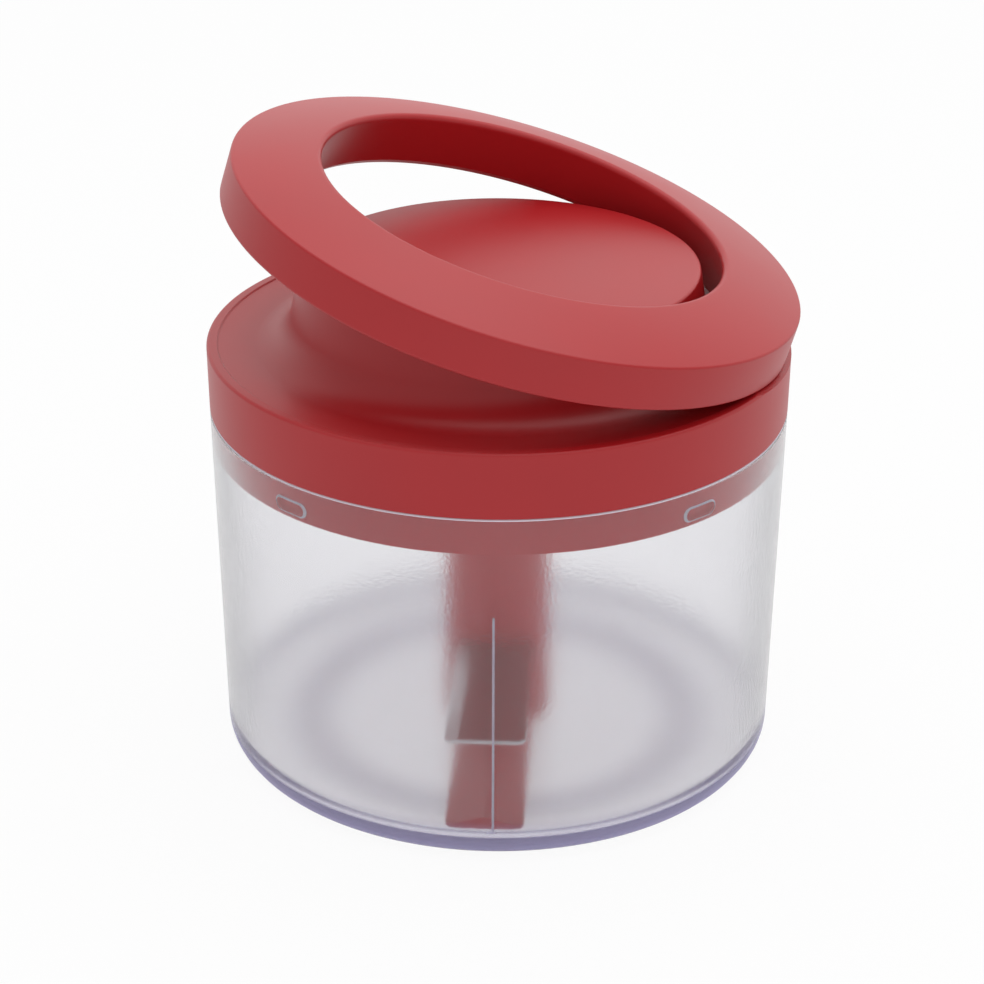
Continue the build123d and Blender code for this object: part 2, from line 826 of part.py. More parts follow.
def drive_rack():
    """Rack with teeth on top for the idler and teeth on its side for the middle pinion."""
    idler_gap = radians(mesh_drop - 360 / idler_teeth * round((mesh_drop + 90) / (360 / idler_teeth)) + 90)
    first_top = idler_x + idler_radius * idler_gap - tooth_pitch * teeth_behind
    tops = [first_top + tooth_pitch * i for i in range(moving_teeth)]
    sides = [tooth_pitch * (i - teeth_behind) for i in range(moving_teeth)]
    low, high = sides[0] - rack_end, tops[-1] + rack_end
    body = block((low, rack_back_y, rack_bottom), (high, rack_face_y, rack_top))
    body += [crosswise(rack_tooth(x, rack_pitch_z), rack_back_y, rack_face_y) for x in tops]
    side_teeth = [extrude(rack_tooth(x, -drive_radius), amount=rack_height) for x in sides]
    return body + [Pos(0, 0, rack_bottom) * tooth for tooth in side_teeth]


def drive_pinion():
    face = gear_face(drive_teeth, drive_radius, 180 / drive_teeth - 90)
    face -= Circle(shaft_diameter / 2 + pressed_gap)
    return Pos(0, 0, rack_bottom) * extrude(face, amount=rack_height)


def drive_shaft():
    low = hub_top - socket_depth + seat_gap * 2
    body = facing(drive_hexagon(0, low, plate_bottom - seat_gap), blade_turn)
    return body + post(shaft_diameter / 2, low, bridge_top + shaft_top_rise)


def shaft_bush():
    body = post(shaft_bush_diameter / 2, plate_bottom, rack_bottom - seat_gap)
    body += post(shaft_flange_diameter / 2, plate_top, plate_top + shaft_flange)
    return body - post(shaft_diameter / 2 + running_gap, 0, rack_bottom)


def shaft_clip():
    low = bridge_top + seat_gap
    high = low + clip_thickness
    body = post(clip_diameter / 2, low, high) - post(shaft_diameter / 2 + pressed_gap, low, high)
    mouth = clip_mouth / 2
    return body - block((0, -mouth, low), (clip_diameter, mouth, high))


def gear_carrier():
    floor_plan = RectangleRounded(carrier_back + carrier_front, carrier_left + carrier_right, carrier_corner)
    floor_middle = Pos((carrier_front - carrier_back) / 2, (carrier_right - carrier_left) / 2, carrier_bottom)
    body = floor_middle * extrude(floor_plan, amount=carrier_floor)
    (left_out, left_in), (right_in, right_out) = axle_walls()
    axle_low, axle_high = idler_x - axle_wall_width / 2, idler_x + axle_wall_width / 2
    for wall_low, wall_high in axle_walls():
        body += block((axle_low, wall_low, carrier_bottom), (axle_high, wall_high, idler_z + axle_wall_rise))
    fence_back, fence_front = carrier_corner - carrier_back, carrier_front - carrier_corner
    body += block((fence_back, left_out, carrier_bottom), (fence_front, left_in, rack_top))
    half = bridge_width / 2
    body += block((-half, left_out, carrier_bottom), (half, left_in, bridge_top))
    body += block((-half, bridge_foot, carrier_bottom), (half, bridge_foot + carrier_wall, bridge_top))
    body += block((-half, left_out, bridge_bottom), (half, bridge_foot + carrier_wall, bridge_top))
    slot_half = arm_half + moving_gap
    slot_in = idler_x - idler_radius
    body -= block((slot_in, -slot_half, carrier_bottom), (carrier_front, slot_half, carrier_top))
    body -= post(shaft_flange_diameter / 2 + moving_gap, 0, carrier_top + cut_past)
    body -= post(shaft_diameter / 2 + running_gap, carrier_top, bridge_top + cut_past)
    axle_hole = Pos(idler_x, idler_z) * Circle(idler_axle_diameter / 2 + pressed_gap)
    body -= crosswise(axle_hole, left_out - cut_past, right_out + cut_past)
    return body - screw_spaces(carrier_places(), screw_short_length)


def carrier_screws():
    return joined([place * screw(screw_short_length) for place in carrier_places()])


def base_screws():
    return joined([place * screw(screw_length) for place in base_screw_places()])


nodes = {
    "bowl": bowl(),
    "pivot_pin": pivot_pin(),
    "blade_hub": blade_hub(),
    "hub_bush": hub_bush(),
    "drive_socket": drive_socket(),
    "upper_blade": facing(blade(upper_blade_height), blade_turn),
    "lower_blade": facing(blade(lower_blade_height), lower_blade_turn),
    "floor_paddle": floor_paddle(),
    "lid_cover": lid_cover(),
    "lid_base": lid_base(),
    "base_screws": base_screws(),
    "gear_carrier": gear_carrier(),
    "carrier_screws": carrier_screws(),
    "idler_axle": idler_axle(),
    "shaft_bush": shaft_bush(),
    "hinge_pin": hinge_pin(),
    "return_spring": return_spring(),
    "lever_top": lever_top(),
    "lever_tray": lever_tray(),
    "lever_arm": lever_arm(),
    "lever_screws": lever_screws(),
    "arm_screws": arm_screws(),
    "idler_pinion": idler_pinion(),
    "drive_rack": drive_rack(),
    "drive_pinion": drive_pinion(),
    "drive_shaft": drive_shaft(),
    "shaft_clip": shaft_clip(),
}

os.makedirs("parts", exist_ok=True)
for name, shape in nodes.items():
    export_step(shape, f"parts/{name}.step")
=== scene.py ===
import math

import bmesh
import bpy
from mathutils import Matrix, Vector


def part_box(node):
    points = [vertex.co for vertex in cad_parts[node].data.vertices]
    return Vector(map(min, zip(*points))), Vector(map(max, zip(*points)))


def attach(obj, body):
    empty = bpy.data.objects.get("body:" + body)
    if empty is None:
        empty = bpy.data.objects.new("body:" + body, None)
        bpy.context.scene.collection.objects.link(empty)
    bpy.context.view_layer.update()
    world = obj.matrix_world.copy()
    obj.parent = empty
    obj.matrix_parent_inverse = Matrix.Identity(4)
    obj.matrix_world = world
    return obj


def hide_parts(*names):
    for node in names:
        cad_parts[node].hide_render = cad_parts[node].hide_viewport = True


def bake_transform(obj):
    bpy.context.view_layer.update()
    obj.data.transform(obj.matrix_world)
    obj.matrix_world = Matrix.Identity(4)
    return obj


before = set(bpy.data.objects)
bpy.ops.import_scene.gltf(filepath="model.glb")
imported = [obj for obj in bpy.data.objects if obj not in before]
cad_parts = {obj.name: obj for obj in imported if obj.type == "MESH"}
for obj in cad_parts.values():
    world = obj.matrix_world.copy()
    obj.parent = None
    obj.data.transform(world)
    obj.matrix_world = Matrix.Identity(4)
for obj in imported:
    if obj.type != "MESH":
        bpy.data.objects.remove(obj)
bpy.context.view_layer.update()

bl_info = {
    "name": "Food Chopper Finish",
    "version": (1, 0, 0),
    "blender": (4, 5, 0),
    "location": "3D View > Sidebar > Chopper",
    "description": "Finishes a food chopper with a ring lever, from its bowl to its screws, and its stage",
    "category": "Object",
}

MM = 0.001
SEGMENTS = 192
SEED = 7
# Points that lie nearer than this become one
WELD = 0.001 * MM
# Faces that turn by more than this meet in a sharp edge
SHARP = math.radians(33)
# Width of the camera's sensor in millimetres
SENSOR = 36
# Mark on the bowl's edges that get a painted glow, and the share of that painted glow
EDGE_MARK, EDGE_PAINTED_GLOW = "bright_edge", 0.95
# Share of a flat lilac diffuse in the bowl's floor and foot, by the share of the foot's radius, with the two
# ends first. The lilac is the thick plastic's tint; its brightness at the foot's edge is painted light in
# place of light through the thick base, and a ring near the dip's edge gets more of it, which darkens it.
FOOT_LILAC_AND_PAINTED_LIGHT = ((0.0, 0.07), (1.0, 0.62), (0.55, 0.08), (0.7, 0.24), (0.86, 0.07), (0.965, 0.05), (0.976, 0.62))
# Heights between which that lilac diffuse fades out
FOOT_FULL, FOOT_END = 3.2 * MM, 10.0 * MM
# Name, place, size and power of each lamp, and the place that all of them face
LAMPS = (
    ("Top_Lamp", (0.1, 0.1, 0.95), 1.0, "top_light"),
    ("Side_Lamp", (0.45, -0.7, 0.7), 0.7, "side_light"),
)
LAMPS_AIM = (0, 0, 0.06)
# Nodes of the frame that only need a finish
MOULDINGS = {"red": ["lever_tray"], "inner": ["lid_base", "blade_hub", "floor_paddle"]}
DRIVE = ["lever_arm", "idler_pinion", "drive_rack", "drive_pinion", "gear_carrier"]
WORKS = {
    "grey": [*DRIVE, "hub_bush", "shaft_bush", "drive_socket"],
    "turned": ["pivot_pin", "idler_axle", "hinge_pin", "drive_shaft"],
    "wire": ["shaft_clip"],
    "blade": ["upper_blade", "lower_blade"],
}


# Values that a user would change


def number(value, description, **kind):
    return bpy.props.FloatProperty(description=description, default=value, precision=5, **kind)


def length(size, description):
    """Length with a default in millimetres."""
    return number(size * MM, description, subtype="DISTANCE", unit="LENGTH")


def angle(size, description):
    """Angle with a default in degrees."""
    return number(math.radians(size), description, subtype="ANGLE", unit="ROTATION")


def whole_number(value, description):
    return bpy.props.IntProperty(description=description, default=value, min=1)


def colour_value(code, description):
    """Colour with a default in sRGB hex."""
    return bpy.props.StringProperty(default=code, description=description)


class ChopperSizes(bpy.types.PropertyGroup):
    body: length(130.0, "Outer diameter of bowl, lid and ring")
    skin_wall: length(2.2, "Wall of the lid and the ring")
    edge_ease: length(0.3, "Round of the small edges")
    bowl_height: length(83.4, "Height of the bowl's rim")
    bowl_taper: length(1.5, "How much the bowl's radius narrows to its foot")
    bowl_wall: length(2.2, "Thickness of the bowl's wall")
    bowl_floor: length(3.6, "Thickness of the bowl's floor")
    base_round: length(6.0, "Round of the bowl's lower edge")
    floor_round: length(5.0, "Round inside, between floor and wall")
    bowl_rim_round: length(0.7, "Round of the bowl's rim")
    dip_radius: length(45.0, "Radius of the shallow dip in the floor")
    dip: length(0.6, "Depth of the dip")
    boss: length(10.0, "Diameter of the pivot pin's boss")
    boss_height: length(4.0, "Height of that boss over the dip")
    pivot: length(5.04, "Diameter of the pivot pin's hole")
    pivot_sink: length(1.6, "Height of that hole's bottom")
    pocket_length: length(9.0, "Length of the pockets inside the bowl's rim")
    pocket_height: length(3.5, "Height of those pockets")
    pocket_depth: length(0.6, "Depth of those pockets")
    pocket_slope: length(0.78, "Width of their sloping sides")
    pocket_drop: length(6.0, "How far they lie under the rim")
    rib_width: length(0.5, "Width of the upright ribs")
    rib_depth: length(0.6, "How far the ribs stand out of the wall")
    rib_foot: length(3.24, "Height of the ribs' lower ends")
    rib_height: length(56.0, "Height of the ribs over the floor")
    bowl_turn: angle(-83.0, "Direction of the first rib")
    pocket_spread: angle(42.7, "Angle from a rib to its pockets")
    seat_gap: length(0.1, "Gap between bowl and lid")
    lid_wall: length(14.8, "Height of the lid's wall")
    lid_draft: length(0.2, "How much the lid widens to its rim")
    rim_width: length(2.1, "Width of the lid's rim")
    rim_round: length(0.7, "Round of the lid's rim")
    rim_step: length(0.35, "Small step from the rim down to the dish")
    dish_rise: length(8.0, "Width over which the dish rises to that step")
    dish_ease: length(32.5, "Round where the dish starts to rise")
    dish_depth: length(0.8, "Depth of the dish inside the rim")
    dish_round: length(8.0, "Round between dish and dome")
    dome_radius: length(44.5, "Radius of the dome's upper edge")
    dome_height: length(16.6, "Height of the dome's edge over the rim")
    dome_crown: length(1.6, "Rise of the dome's top over its edge")
    dome_round: length(0.7, "Round of the dome's edge")
    flank_lean: angle(9.5, "Lean of the dome's side")
    slot_in: length(40.1, "Where the arm's slot ends in the dome")
    slot_width: length(6.2, "Width of the arm's slot")
    slot_top: length(108.69, "Height of the slot's upper end")
    ring_gap: length(0.3, "Gap under the closed ring")
    ring_wall: length(10.0, "Height of the ring's outer wall")
    ring_draft: length(0.1, "How much the ring narrows upwards")
    ring_crown: length(4.5, "Rise of the ring's top to its inner edge")
    ring_bulge: length(0.4, "Bulge of the ring's top")
    bore_gap: length(0.7, "Gap between ring and dome at the top")
    bore_lean: length(4.0, "How much the ring's bore widens downwards")
    bore_foot: length(1.2, "Chamfer under the bore")
    ring_edge_round: length(0.6, "Round of the ring's outer edge")
    ring_inner_round: length(1.1, "Round of the ring's inner edge")
    ring_foot_round: length(0.7, "Round of the ring's lower edge")
    cap_edge: length(1.6, "Thickness of the ring's top at its edges")
    ring_tilt: angle(16.2, "How far the spring holds the ring up")
    hinge_inset: length(6.0, "How far the hinge lies inside the outer wall")
    hinge_rise: length(2.8, "Height of the hinge over the lid's rim")
    hinge_pin: length(2.54, "Diameter of the hinge pin's holes")
    ear_radius: length(2.5, "Radius of the lid's hinge ears")
    ear_inside: length(7.3, "Where an ear starts, from the middle")
    ear_width: length(2.4, "Width of an ear")
    window_in: length(55.5, "Inner end of the window round the hinge")
    window_half: length(10.0, "Half of that window's width")
    window_rise: length(3.2, "Height of that window in the ring")
    notch_half: length(2.52, "Half of the width of the arm's notch")
    arm_hub: length(3.2, "Radius of the arm round the hinge")
    screw: length(2.4, "Diameter of the screws")
    screw_head: length(4.8, "Diameter of their heads")
    head_height: length(1.3, "Height of the countersunk heads")
    cross_length: length(2.8, "Length of the cross in the heads")
    cross_width: length(0.6, "Width of the cross")
    cross_depth: length(0.7, "Depth of the cross")
    screw_length: length(8.0, "Length of the lid's and ring's screws")
    screw_short: length(5.0, "Length of the arm's and carrier's screws")
    screw_boss: length(7.0, "Diameter of the bosses for screws")
    base_reach: length(54.04, "Circle of the lid's screws")
    base_seat: length(75.8, "Height of the lid's screw heads")
    base_plate: length(2.0, "Thickness of the plate under those heads")
    ring_reach: length(56.5, "Circle of the ring's screws")
    arm_reach: length(53.45, "Place of the arm's screws, from the axis")
    arm_half: length(7.5, "Half of the distance between them")
    carrier_seat: length(81.7, "Height of the gear carrier's screw heads")
    carrier_back: length(-8.0, "Rear screws of the gear carrier")
    carrier_front: length(29.93, "Front screws of the gear carrier")
    carrier_left: length(-16.0, "Left screws of the gear carrier")
    carrier_right: length(10.0, "Right screws of the gear carrier")
    spring_wire: length(0.6, "Thickness of the return spring's wire")
    spring_radius: length(2.2, "Radius of its turns")
    spring_pitch: length(1.05, "Distance between its turns")
    spring_start: length(3.4, "Where it starts along the hinge")
    spring_turns: whole_number(3, "Number of its turns")
    lid_screws: whole_number(4, "Number of the lid's screws")
    ring_screws: whole_number(6, "Number of the ring's screws")


class ChopperColours(bpy.types.PropertyGroup):
    red: colour_value("#B3191F", "Main tone of the red mouldings")
    red_shade: colour_value("#A9161C", "Darker tone in the red mouldings' flow marks")
    # Painted light: the same red inside the bowl, painted brighter for the light that the frosted bowl holds
    # back
    inner_red_painted_light: colour_value("#CA222B", "Main tone of the red mouldings inside the bowl")
    inner_shade_painted_light: colour_value("#BF1E27", "Darker tone in their flow marks")
    grey: colour_value("#8B8C90", "Main tone of the acetal gears")
    grey_shade: colour_value("#808185", "Darker tone in the acetal gears")
    bowl: colour_value("#FCFCFD", "Tint of the frosted skin")
    # Flat lilac diffuse at the foot: the thick plastic's tint, painted brighter at the foot's edge in place
    # of light through the thick base
    bowl_foot: colour_value("#BDB7E2", "Lilac of the thick foot")
    bowl_depth: colour_value("#B9B2E6", "Tint of a long way through the bowl")
    # Painted glow: pale flat colour on rim, ribs and pockets, standing in for light that leaves the plastic
    # there
    bowl_edge_painted_glow: colour_value("#F3F0FB", "Bright tone of rim, ribs and pockets")
    blade: colour_value("#C6C5C8", "Main tone of the blades")
    blade_shade: colour_value("#B0AFB3", "Darker tone in the blades' brushing")
    steel: colour_value("#BDBDC0", "Main tone of pins and screws")
    steel_shade: colour_value("#A9A9AD", "Darker tone in the turning marks")
    wire: colour_value("#8F8F94", "Main tone of the spring wire")
    wire_shade: colour_value("#7C7C82", "Darker tone in the wire's drawing marks")


class ChopperStage(bpy.types.PropertyGroup):
    eye: bpy.props.FloatVectorProperty(
        description="Where the camera stands", default=(0.07518, -0.54886, 0.32142), unit="LENGTH"
    )
    yaw: angle(-7.95, "Turn of the camera from straight along +Y")
    pitch: angle(25.34, "How far the camera looks down")
    roll: angle(-0.2, "Turn of the camera about its own line of sight")
    lens: number(97.526, "Focal length of the camera in millimetres")
    room_light: number(0.62, "Strength of the even white light from all round")
    back_light: number(1.25, "Strength of the white sweep behind the object, as gloss shows it")
    front_light: number(0.7, "Strength of that sweep beside the object and before it")
    top_light: number(3.8, "Power of the large soft lamp overhead, in watts")
    side_light: number(0.55, "Power of the soft lamp at the front right, in watts")
    floor: colour_value("#F7F7F8", "Colour of the pale floor")
    floor_glow: number(0.93, "Share of the floor that shows as plain white, without its shadow")
    floor_dim: number(0.74, "Share of that white that gloss and the bowl show")


# Colours and nodes


def linear(code):
    """Linear colour of an sRGB hex value."""
    shares = [int(code[i : i + 2], 16) / 255 for i in (1, 3, 5)]
    return [c / 12.92 if c <= 0.04045 else ((c + 0.055) / 1.055) ** 2.4 for c in shares] + [1.0]


def add(tree, kind, inputs=None, **settings):
    """Adds a node with its settings. Its inputs take values, sockets, or the first outputs of nodes."""
    made = tree.nodes.new(kind)
    for name, value in settings.items():
        setattr(made, name, value)
    for name, value in (inputs or {}).items():
        feed = value.outputs[0] if isinstance(value, bpy.types.Node) else value
        if isinstance(feed, bpy.types.NodeSocket):
            tree.links.new(feed, made.inputs[name])
        else:
            made.inputs[name].default_value = feed
    return made


def new_material(name):
    """Empty node material, its tree, and the place on the piece that its patterns follow."""
    made = bpy.data.materials.new(name)
    made.use_nodes = True
    made.node_tree.nodes.clear()
    return made, made.node_tree, add(made.node_tree, "ShaderNodeTexCoord").outputs["Object"]


def per_mm(size):
    """Texture scale for a pattern whose features are that many millimetres apart."""
    return 1 / (size * MM)


# Materials


def mottle(tree, pattern, colour, shade, rough, spread):
    """Tone and roughness of a skin that follow a pattern."""
    tone = add(
        tree, "ShaderNodeMix", {"Factor": pattern, 6: linear(shade), 7: linear(colour)}, data_type="RGBA"
    )
    haze = add(
        tree, "ShaderNodeMapRange", {"Value": pattern, "To Min": rough - spread, "To Max": rough + spread}
    )
    return {"Base Color": tone.outputs[2], "Roughness": haze}


def moulded_plastic(name, colour, shade, rough, grain):
    # ABS or acetal from a spark-finished mould: a satin skin that blurs white light, with a fine grain and a
    # faint flow mottle. The grain is drawn coarser than it is, so that it shows.
    made, tree, place = new_material(name)
    flow = add(tree, "ShaderNodeTexNoise", {"Vector": place, "Scale": per_mm(26), "Detail": 3.0})
    pits = add(tree, "ShaderNodeTexNoise", {"Vector": place, "Scale": per_mm(grain), "Detail": 2.0})
    relief = add(tree, "ShaderNodeBump", {"Height": pits, "Strength": 0.12, "Distance": 0.05 * MM})
    tones = mottle(tree, flow, colour, shade, rough, spread=0.03)
    skin = add(tree, "ShaderNodeBsdfPrincipled", {**tones, "Normal": relief, "IOR": 1.5})
    add(tree, "ShaderNodeOutputMaterial", {"Surface": skin})
    return made


def frosted_plastic(name, colours, rough, pebble, foot_reach):
    # Frosted copolyester: clear plastic from an etched mould, hazy like mist, whose pebbled skin ripples
    # what lies behind it. It is lilac where it is thick. Its foot mixes in a flat lilac diffuse, whose
    # brightness at the foot's edge is painted light in place of light through the thick base. Rim, ribs and
    # pockets get a painted glow: a pale flat colour that stands in for light that leaves the plastic there.
    made, tree, place = new_material(name)
    etch = add(tree, "ShaderNodeTexNoise", {"Vector": place, "Scale": per_mm(pebble), "Detail": 1.0})
    cloud = add(tree, "ShaderNodeTexNoise", {"Vector": place, "Scale": per_mm(18), "Detail": 2.0})
    haze = add(tree, "ShaderNodeMapRange", {"Value": cloud, "To Min": rough - 0.02, "To Max": rough + 0.02})
    skin = add(
        tree,
        "ShaderNodeBsdfPrincipled",
        {
            "Base Color": linear(colours.bowl),
            "Roughness": haze,
            "Normal": add(tree, "ShaderNodeBump", {"Height": etch, "Strength": 0.14, "Distance": 0.14 * MM}),
            "IOR": 1.46,
            "Transmission Weight": 0.985,
        },
    )
    height = add(tree, "ShaderNodeSeparateXYZ", {"Vector": place}).outputs["Z"]
    low = add(tree, "ShaderNodeMapRange", {"Value": height, "From Min": FOOT_END, "From Max": FOOT_FULL})
    shares = (1 / foot_reach, 1 / foot_reach, 0)
    level = add(tree, "ShaderNodeVectorMath", {0: place, 1: shares}, operation="MULTIPLY")
    reach = add(tree, "ShaderNodeVectorMath", {0: level}, operation="LENGTH").outputs["Value"]
    by_reach = add(tree, "ShaderNodeValToRGB", {"Fac": reach})
    by_reach.color_ramp.interpolation = "EASE"
    stops = by_reach.color_ramp.elements
    for i, (part, diffuse_share) in enumerate(FOOT_LILAC_AND_PAINTED_LIGHT):
        stop = stops[i] if i < 2 else stops.new(part)
        stop.position, stop.color = part, (diffuse_share, diffuse_share, diffuse_share, 1)
    # Flat lilac diffuse at floor and foot: the thick plastic's tint, with painted light at the foot's edge
    # in place of light through the thick base
    at_foot = add(tree, "ShaderNodeMath", {0: by_reach, 1: low}, operation="MULTIPLY")
    foot = add(tree, "ShaderNodeBsdfDiffuse", {"Color": linear(colours.bowl_foot)})
    body = add(tree, "ShaderNodeMixShader", {0: at_foot, 1: skin, 2: foot})
    # Painted glow on the marked rim, ribs and pockets, standing in for light that leaves the plastic there
    edge = add(tree, "ShaderNodeBsdfDiffuse", {"Color": linear(colours.bowl_edge_painted_glow)})
    marked = add(tree, "ShaderNodeAttribute", attribute_name=EDGE_MARK).outputs["Fac"]
    painted_glow_share = add(tree, "ShaderNodeMath", {0: marked, 1: EDGE_PAINTED_GLOW}, operation="MULTIPLY")
    coat = add(tree, "ShaderNodeMixShader", {0: painted_glow_share, 1: body, 2: edge})
    depth = add(tree, "ShaderNodeVolumeAbsorption", {"Color": linear(colours.bowl_depth), "Density": 9.0})
    add(tree, "ShaderNodeOutputMaterial", {"Surface": coat, "Volume": depth})
    return made


def worked_metal(name, colour, shade, rough, along, across):
    # Stainless steel: a cool grey metal whose working marks are long scratches that stretch its highlights.
    # They are drawn wider than they are so that they show.
    made, tree, place = new_material(name)
    scale = (per_mm(across), per_mm(along), per_mm(across))
    lay = add(tree, "ShaderNodeMapping", {"Vector": place, "Scale": scale})
    marks = add(tree, "ShaderNodeTexNoise", {"Vector": lay, "Scale": 1.0, "Detail": 3.0})
    relief = add(tree, "ShaderNodeBump", {"Height": marks, "Strength": 0.15, "Distance": 0.02 * MM})
    tones = mottle(tree, marks, colour, shade, rough, spread=0.08)
    skin = add(tree, "ShaderNodeBsdfPrincipled", {**tones, "Normal": relief, "Metallic": 1.0})
    add(tree, "ShaderNodeOutputMaterial", {"Surface": skin})
    return made


MATERIALS = {}


def material(finish):
    """Material of a finish. All are made at the first call, from the values that the panel shows."""
    if not MATERIALS:
        prepare_materials(bpy.context.scene.chopper_colours, bpy.context.scene.chopper_sizes)
    return MATERIALS[finish]


def prepare_materials(tones, sizes):
    """Makes each finish once."""
    foot_reach = sizes.body / 2 - sizes.bowl_taper
    plastic, metal = moulded_plastic, worked_metal
    MATERIALS.update(
        red=plastic("Satin_Red_ABS", tones.red, tones.red_shade, rough=0.4, grain=0.45),
        # The red inside the bowl is a painted-light copy of the same red, brighter for the light the bowl
        # holds back
        inner=plastic("Bright_Red_ABS", tones.inner_red_painted_light, tones.inner_shade_painted_light, rough=0.36, grain=0.45),
        grey=plastic("Grey_Acetal", tones.grey, tones.grey_shade, rough=0.42, grain=0.5),
        bowl=frosted_plastic("Frosted_Copolyester", tones, rough=0.18, pebble=0.8, foot_reach=foot_reach),
        blade=metal("Brushed_Stainless", tones.blade, tones.blade_shade, rough=0.32, along=14, across=0.3),
        turned=metal("Turned_Stainless", tones.steel, tones.steel_shade, rough=0.28, along=0.4, across=6),
        wire=metal("Drawn_Spring_Wire", tones.wire, tones.wire_shade, rough=0.35, along=5, across=0.3),
    )


def finish_nodes(groups):
    """Gives nodes of the frame their material, from lists of nodes by finish."""
    for finish, names in groups.items():
        for name in names:
            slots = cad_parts[name].data.materials
            slots.clear()
            slots.append(material(finish))


# Geometry trees


def new_tree(name, **inputs):
    """Geometry tree with one output, a finish and other named inputs, and the sockets of its inputs."""
    tree = bpy.data.node_groups.new(name, "GeometryNodeTree")
    tree.interface.new_socket("Shape", in_out="OUTPUT", socket_type="NodeSocketGeometry")
    for label, kind in {**inputs, "Finish": "Material"}.items():
        tree.interface.new_socket(label, in_out="INPUT", socket_type="NodeSocket" + kind)
    return tree, add(tree, "NodeGroupInput").outputs


def end_tree(tree, given, shape):
    """Last steps of every tree: real geometry in its finish."""
    real = add(tree, "GeometryNodeRealizeInstances", {"Geometry": shape})
    coated = add(tree, "GeometryNodeSetMaterial", {"Geometry": real, "Material": given["Finish"]})
    add(tree, "NodeGroupOutput", {"Shape": coated})
    return tree


def turned_skin_tree():
    """Skin that the points of a section leave when they turn about the upright axis."""
    tree, given = new_tree("Turned_Skin", Section="Geometry", Segments="Int")
    section, segments = given["Section"], given["Segments"]
    count = add(tree, "GeometryNodeAttributeDomainSize", {"Geometry": section}).outputs["Point Count"]
    rows = add(tree, "ShaderNodeMath", {0: segments, 1: 1.0}, operation="ADD")
    sheet = add(tree, "GeometryNodeMeshGrid", {"Vertices X": rows, "Vertices Y": count})
    index = add(tree, "GeometryNodeInputIndex")
    along = add(tree, "ShaderNodeMath", {0: index, 1: count}, operation="MODULO")
    passed = add(tree, "ShaderNodeMath", {0: index, 1: count}, operation="DIVIDE")
    row = add(tree, "ShaderNodeMath", {0: passed}, operation="FLOOR")
    step = add(tree, "ShaderNodeMath", {0: math.tau, 1: segments}, operation="DIVIDE")
    turn = add(tree, "ShaderNodeMath", {0: row, 1: step}, operation="MULTIPLY")
    place = add(tree, "GeometryNodeInputPosition")
    sample = {"Geometry": section, "Value": place, "Index": along}
    point = add(tree, "GeometryNodeSampleIndex", sample, data_type="FLOAT_VECTOR")
    swung = add(tree, "ShaderNodeVectorRotate", {"Vector": point, "Angle": turn}, rotation_type="Z_AXIS")
    skin = add(tree, "GeometryNodeSetPosition", {"Geometry": sheet, "Position": swung})
    closed = add(tree, "GeometryNodeMergeByDistance", {"Geometry": skin, "Distance": WELD})
    return end_tree(tree, given, closed)


def ring_of_copies_tree():
    """Copies of a shape, evenly spaced round the upright axis."""
    tree, given = new_tree("Ring_Of_Copies", Copy="Geometry", Count="Int", First="Float")
    points = add(tree, "GeometryNodePoints", {"Count": given["Count"]})
    index = add(tree, "GeometryNodeInputIndex")
    step = add(tree, "ShaderNodeMath", {0: math.tau, 1: given["Count"]}, operation="DIVIDE")
    turn = add(tree, "ShaderNodeMath", {0: index, 1: step, 2: given["First"]}, operation="MULTIPLY_ADD")
    spin = add(tree, "FunctionNodeAxisAngleToRotation", {"Axis": (0, 0, 1), "Angle": turn})
    layout = {"Points": points, "Instance": given["Copy"], "Rotation": spin}
    copies = add(tree, "GeometryNodeInstanceOnPoints", layout)
    return end_tree(tree, given, copies)


def wound_wire_tree():
    """Round wire along a line."""
    tree, given = new_tree("Wound_Wire", Line="Geometry", Radius="Float")
    run = add(tree, "GeometryNodeMeshToCurve", {"Mesh": given["Line"]})
    outline = add(tree, "GeometryNodeCurvePrimitiveCircle", {"Resolution": 16, "Radius": given["Radius"]})
    wire = add(tree, "GeometryNodeCurveToMesh", {"Curve": run, "Profile Curve": outline, "Fill Caps": True})
    return end_tree(tree, given, wire)


def driven_screws_tree():
    """Screws at some points, tipped to their side, each stopped at its own turn by the driver."""
    tree, given = new_tree("Driven_Screws", Places="Geometry", Screw="Object", Tip="Float", Seed="Int")
    shape = add(tree, "GeometryNodeObjectInfo", {"Object": given["Screw"]}).outputs["Geometry"]
    range_of_turns = {2: 0.0, 3: math.tau, "Seed": given["Seed"]}
    stop = add(tree, "FunctionNodeRandomValue", range_of_turns, data_type="FLOAT").outputs[1]
    tipped = add(tree, "FunctionNodeAxisAngleToRotation", {"Axis": (1, 0, 0), "Angle": given["Tip"]})
    driven = add(tree, "FunctionNodeAxisAngleToRotation", {"Axis": (0, 0, 1), "Angle": stop})
    both = add(
        tree, "FunctionNodeRotateRotation", {"Rotation": tipped, "Rotate By": driven}, rotation_space="LOCAL"
    )
    layout = {"Points": given["Places"], "Instance": shape, "Rotation": both}
    copies = add(tree, "GeometryNodeInstanceOnPoints", layout)
    return end_tree(tree, given, copies)


# Meshes


def on_scene(name, mesh):
    """New object in the scene."""
    made = bpy.data.objects.new(name, mesh)
    bpy.context.collection.objects.link(made)
    return made


def plain_mesh(holder):
    """Plain mesh of an object after its modifiers, without its doubles and with its faces outwards."""
    graph = bpy.context.evaluated_depsgraph_get()
    mesh = bpy.data.meshes.new_from_object(holder.evaluated_get(graph), depsgraph=graph)
    shape = bmesh.new()
    shape.from_mesh(mesh)
    bmesh.ops.remove_doubles(shape, verts=shape.verts, dist=WELD / 2)
    bmesh.ops.dissolve_degenerate(shape, edges=shape.edges, dist=WELD / 2)
    bmesh.ops.recalc_face_normals(shape, faces=shape.faces)
    shape.to_mesh(mesh)
    shape.free()
    return mesh


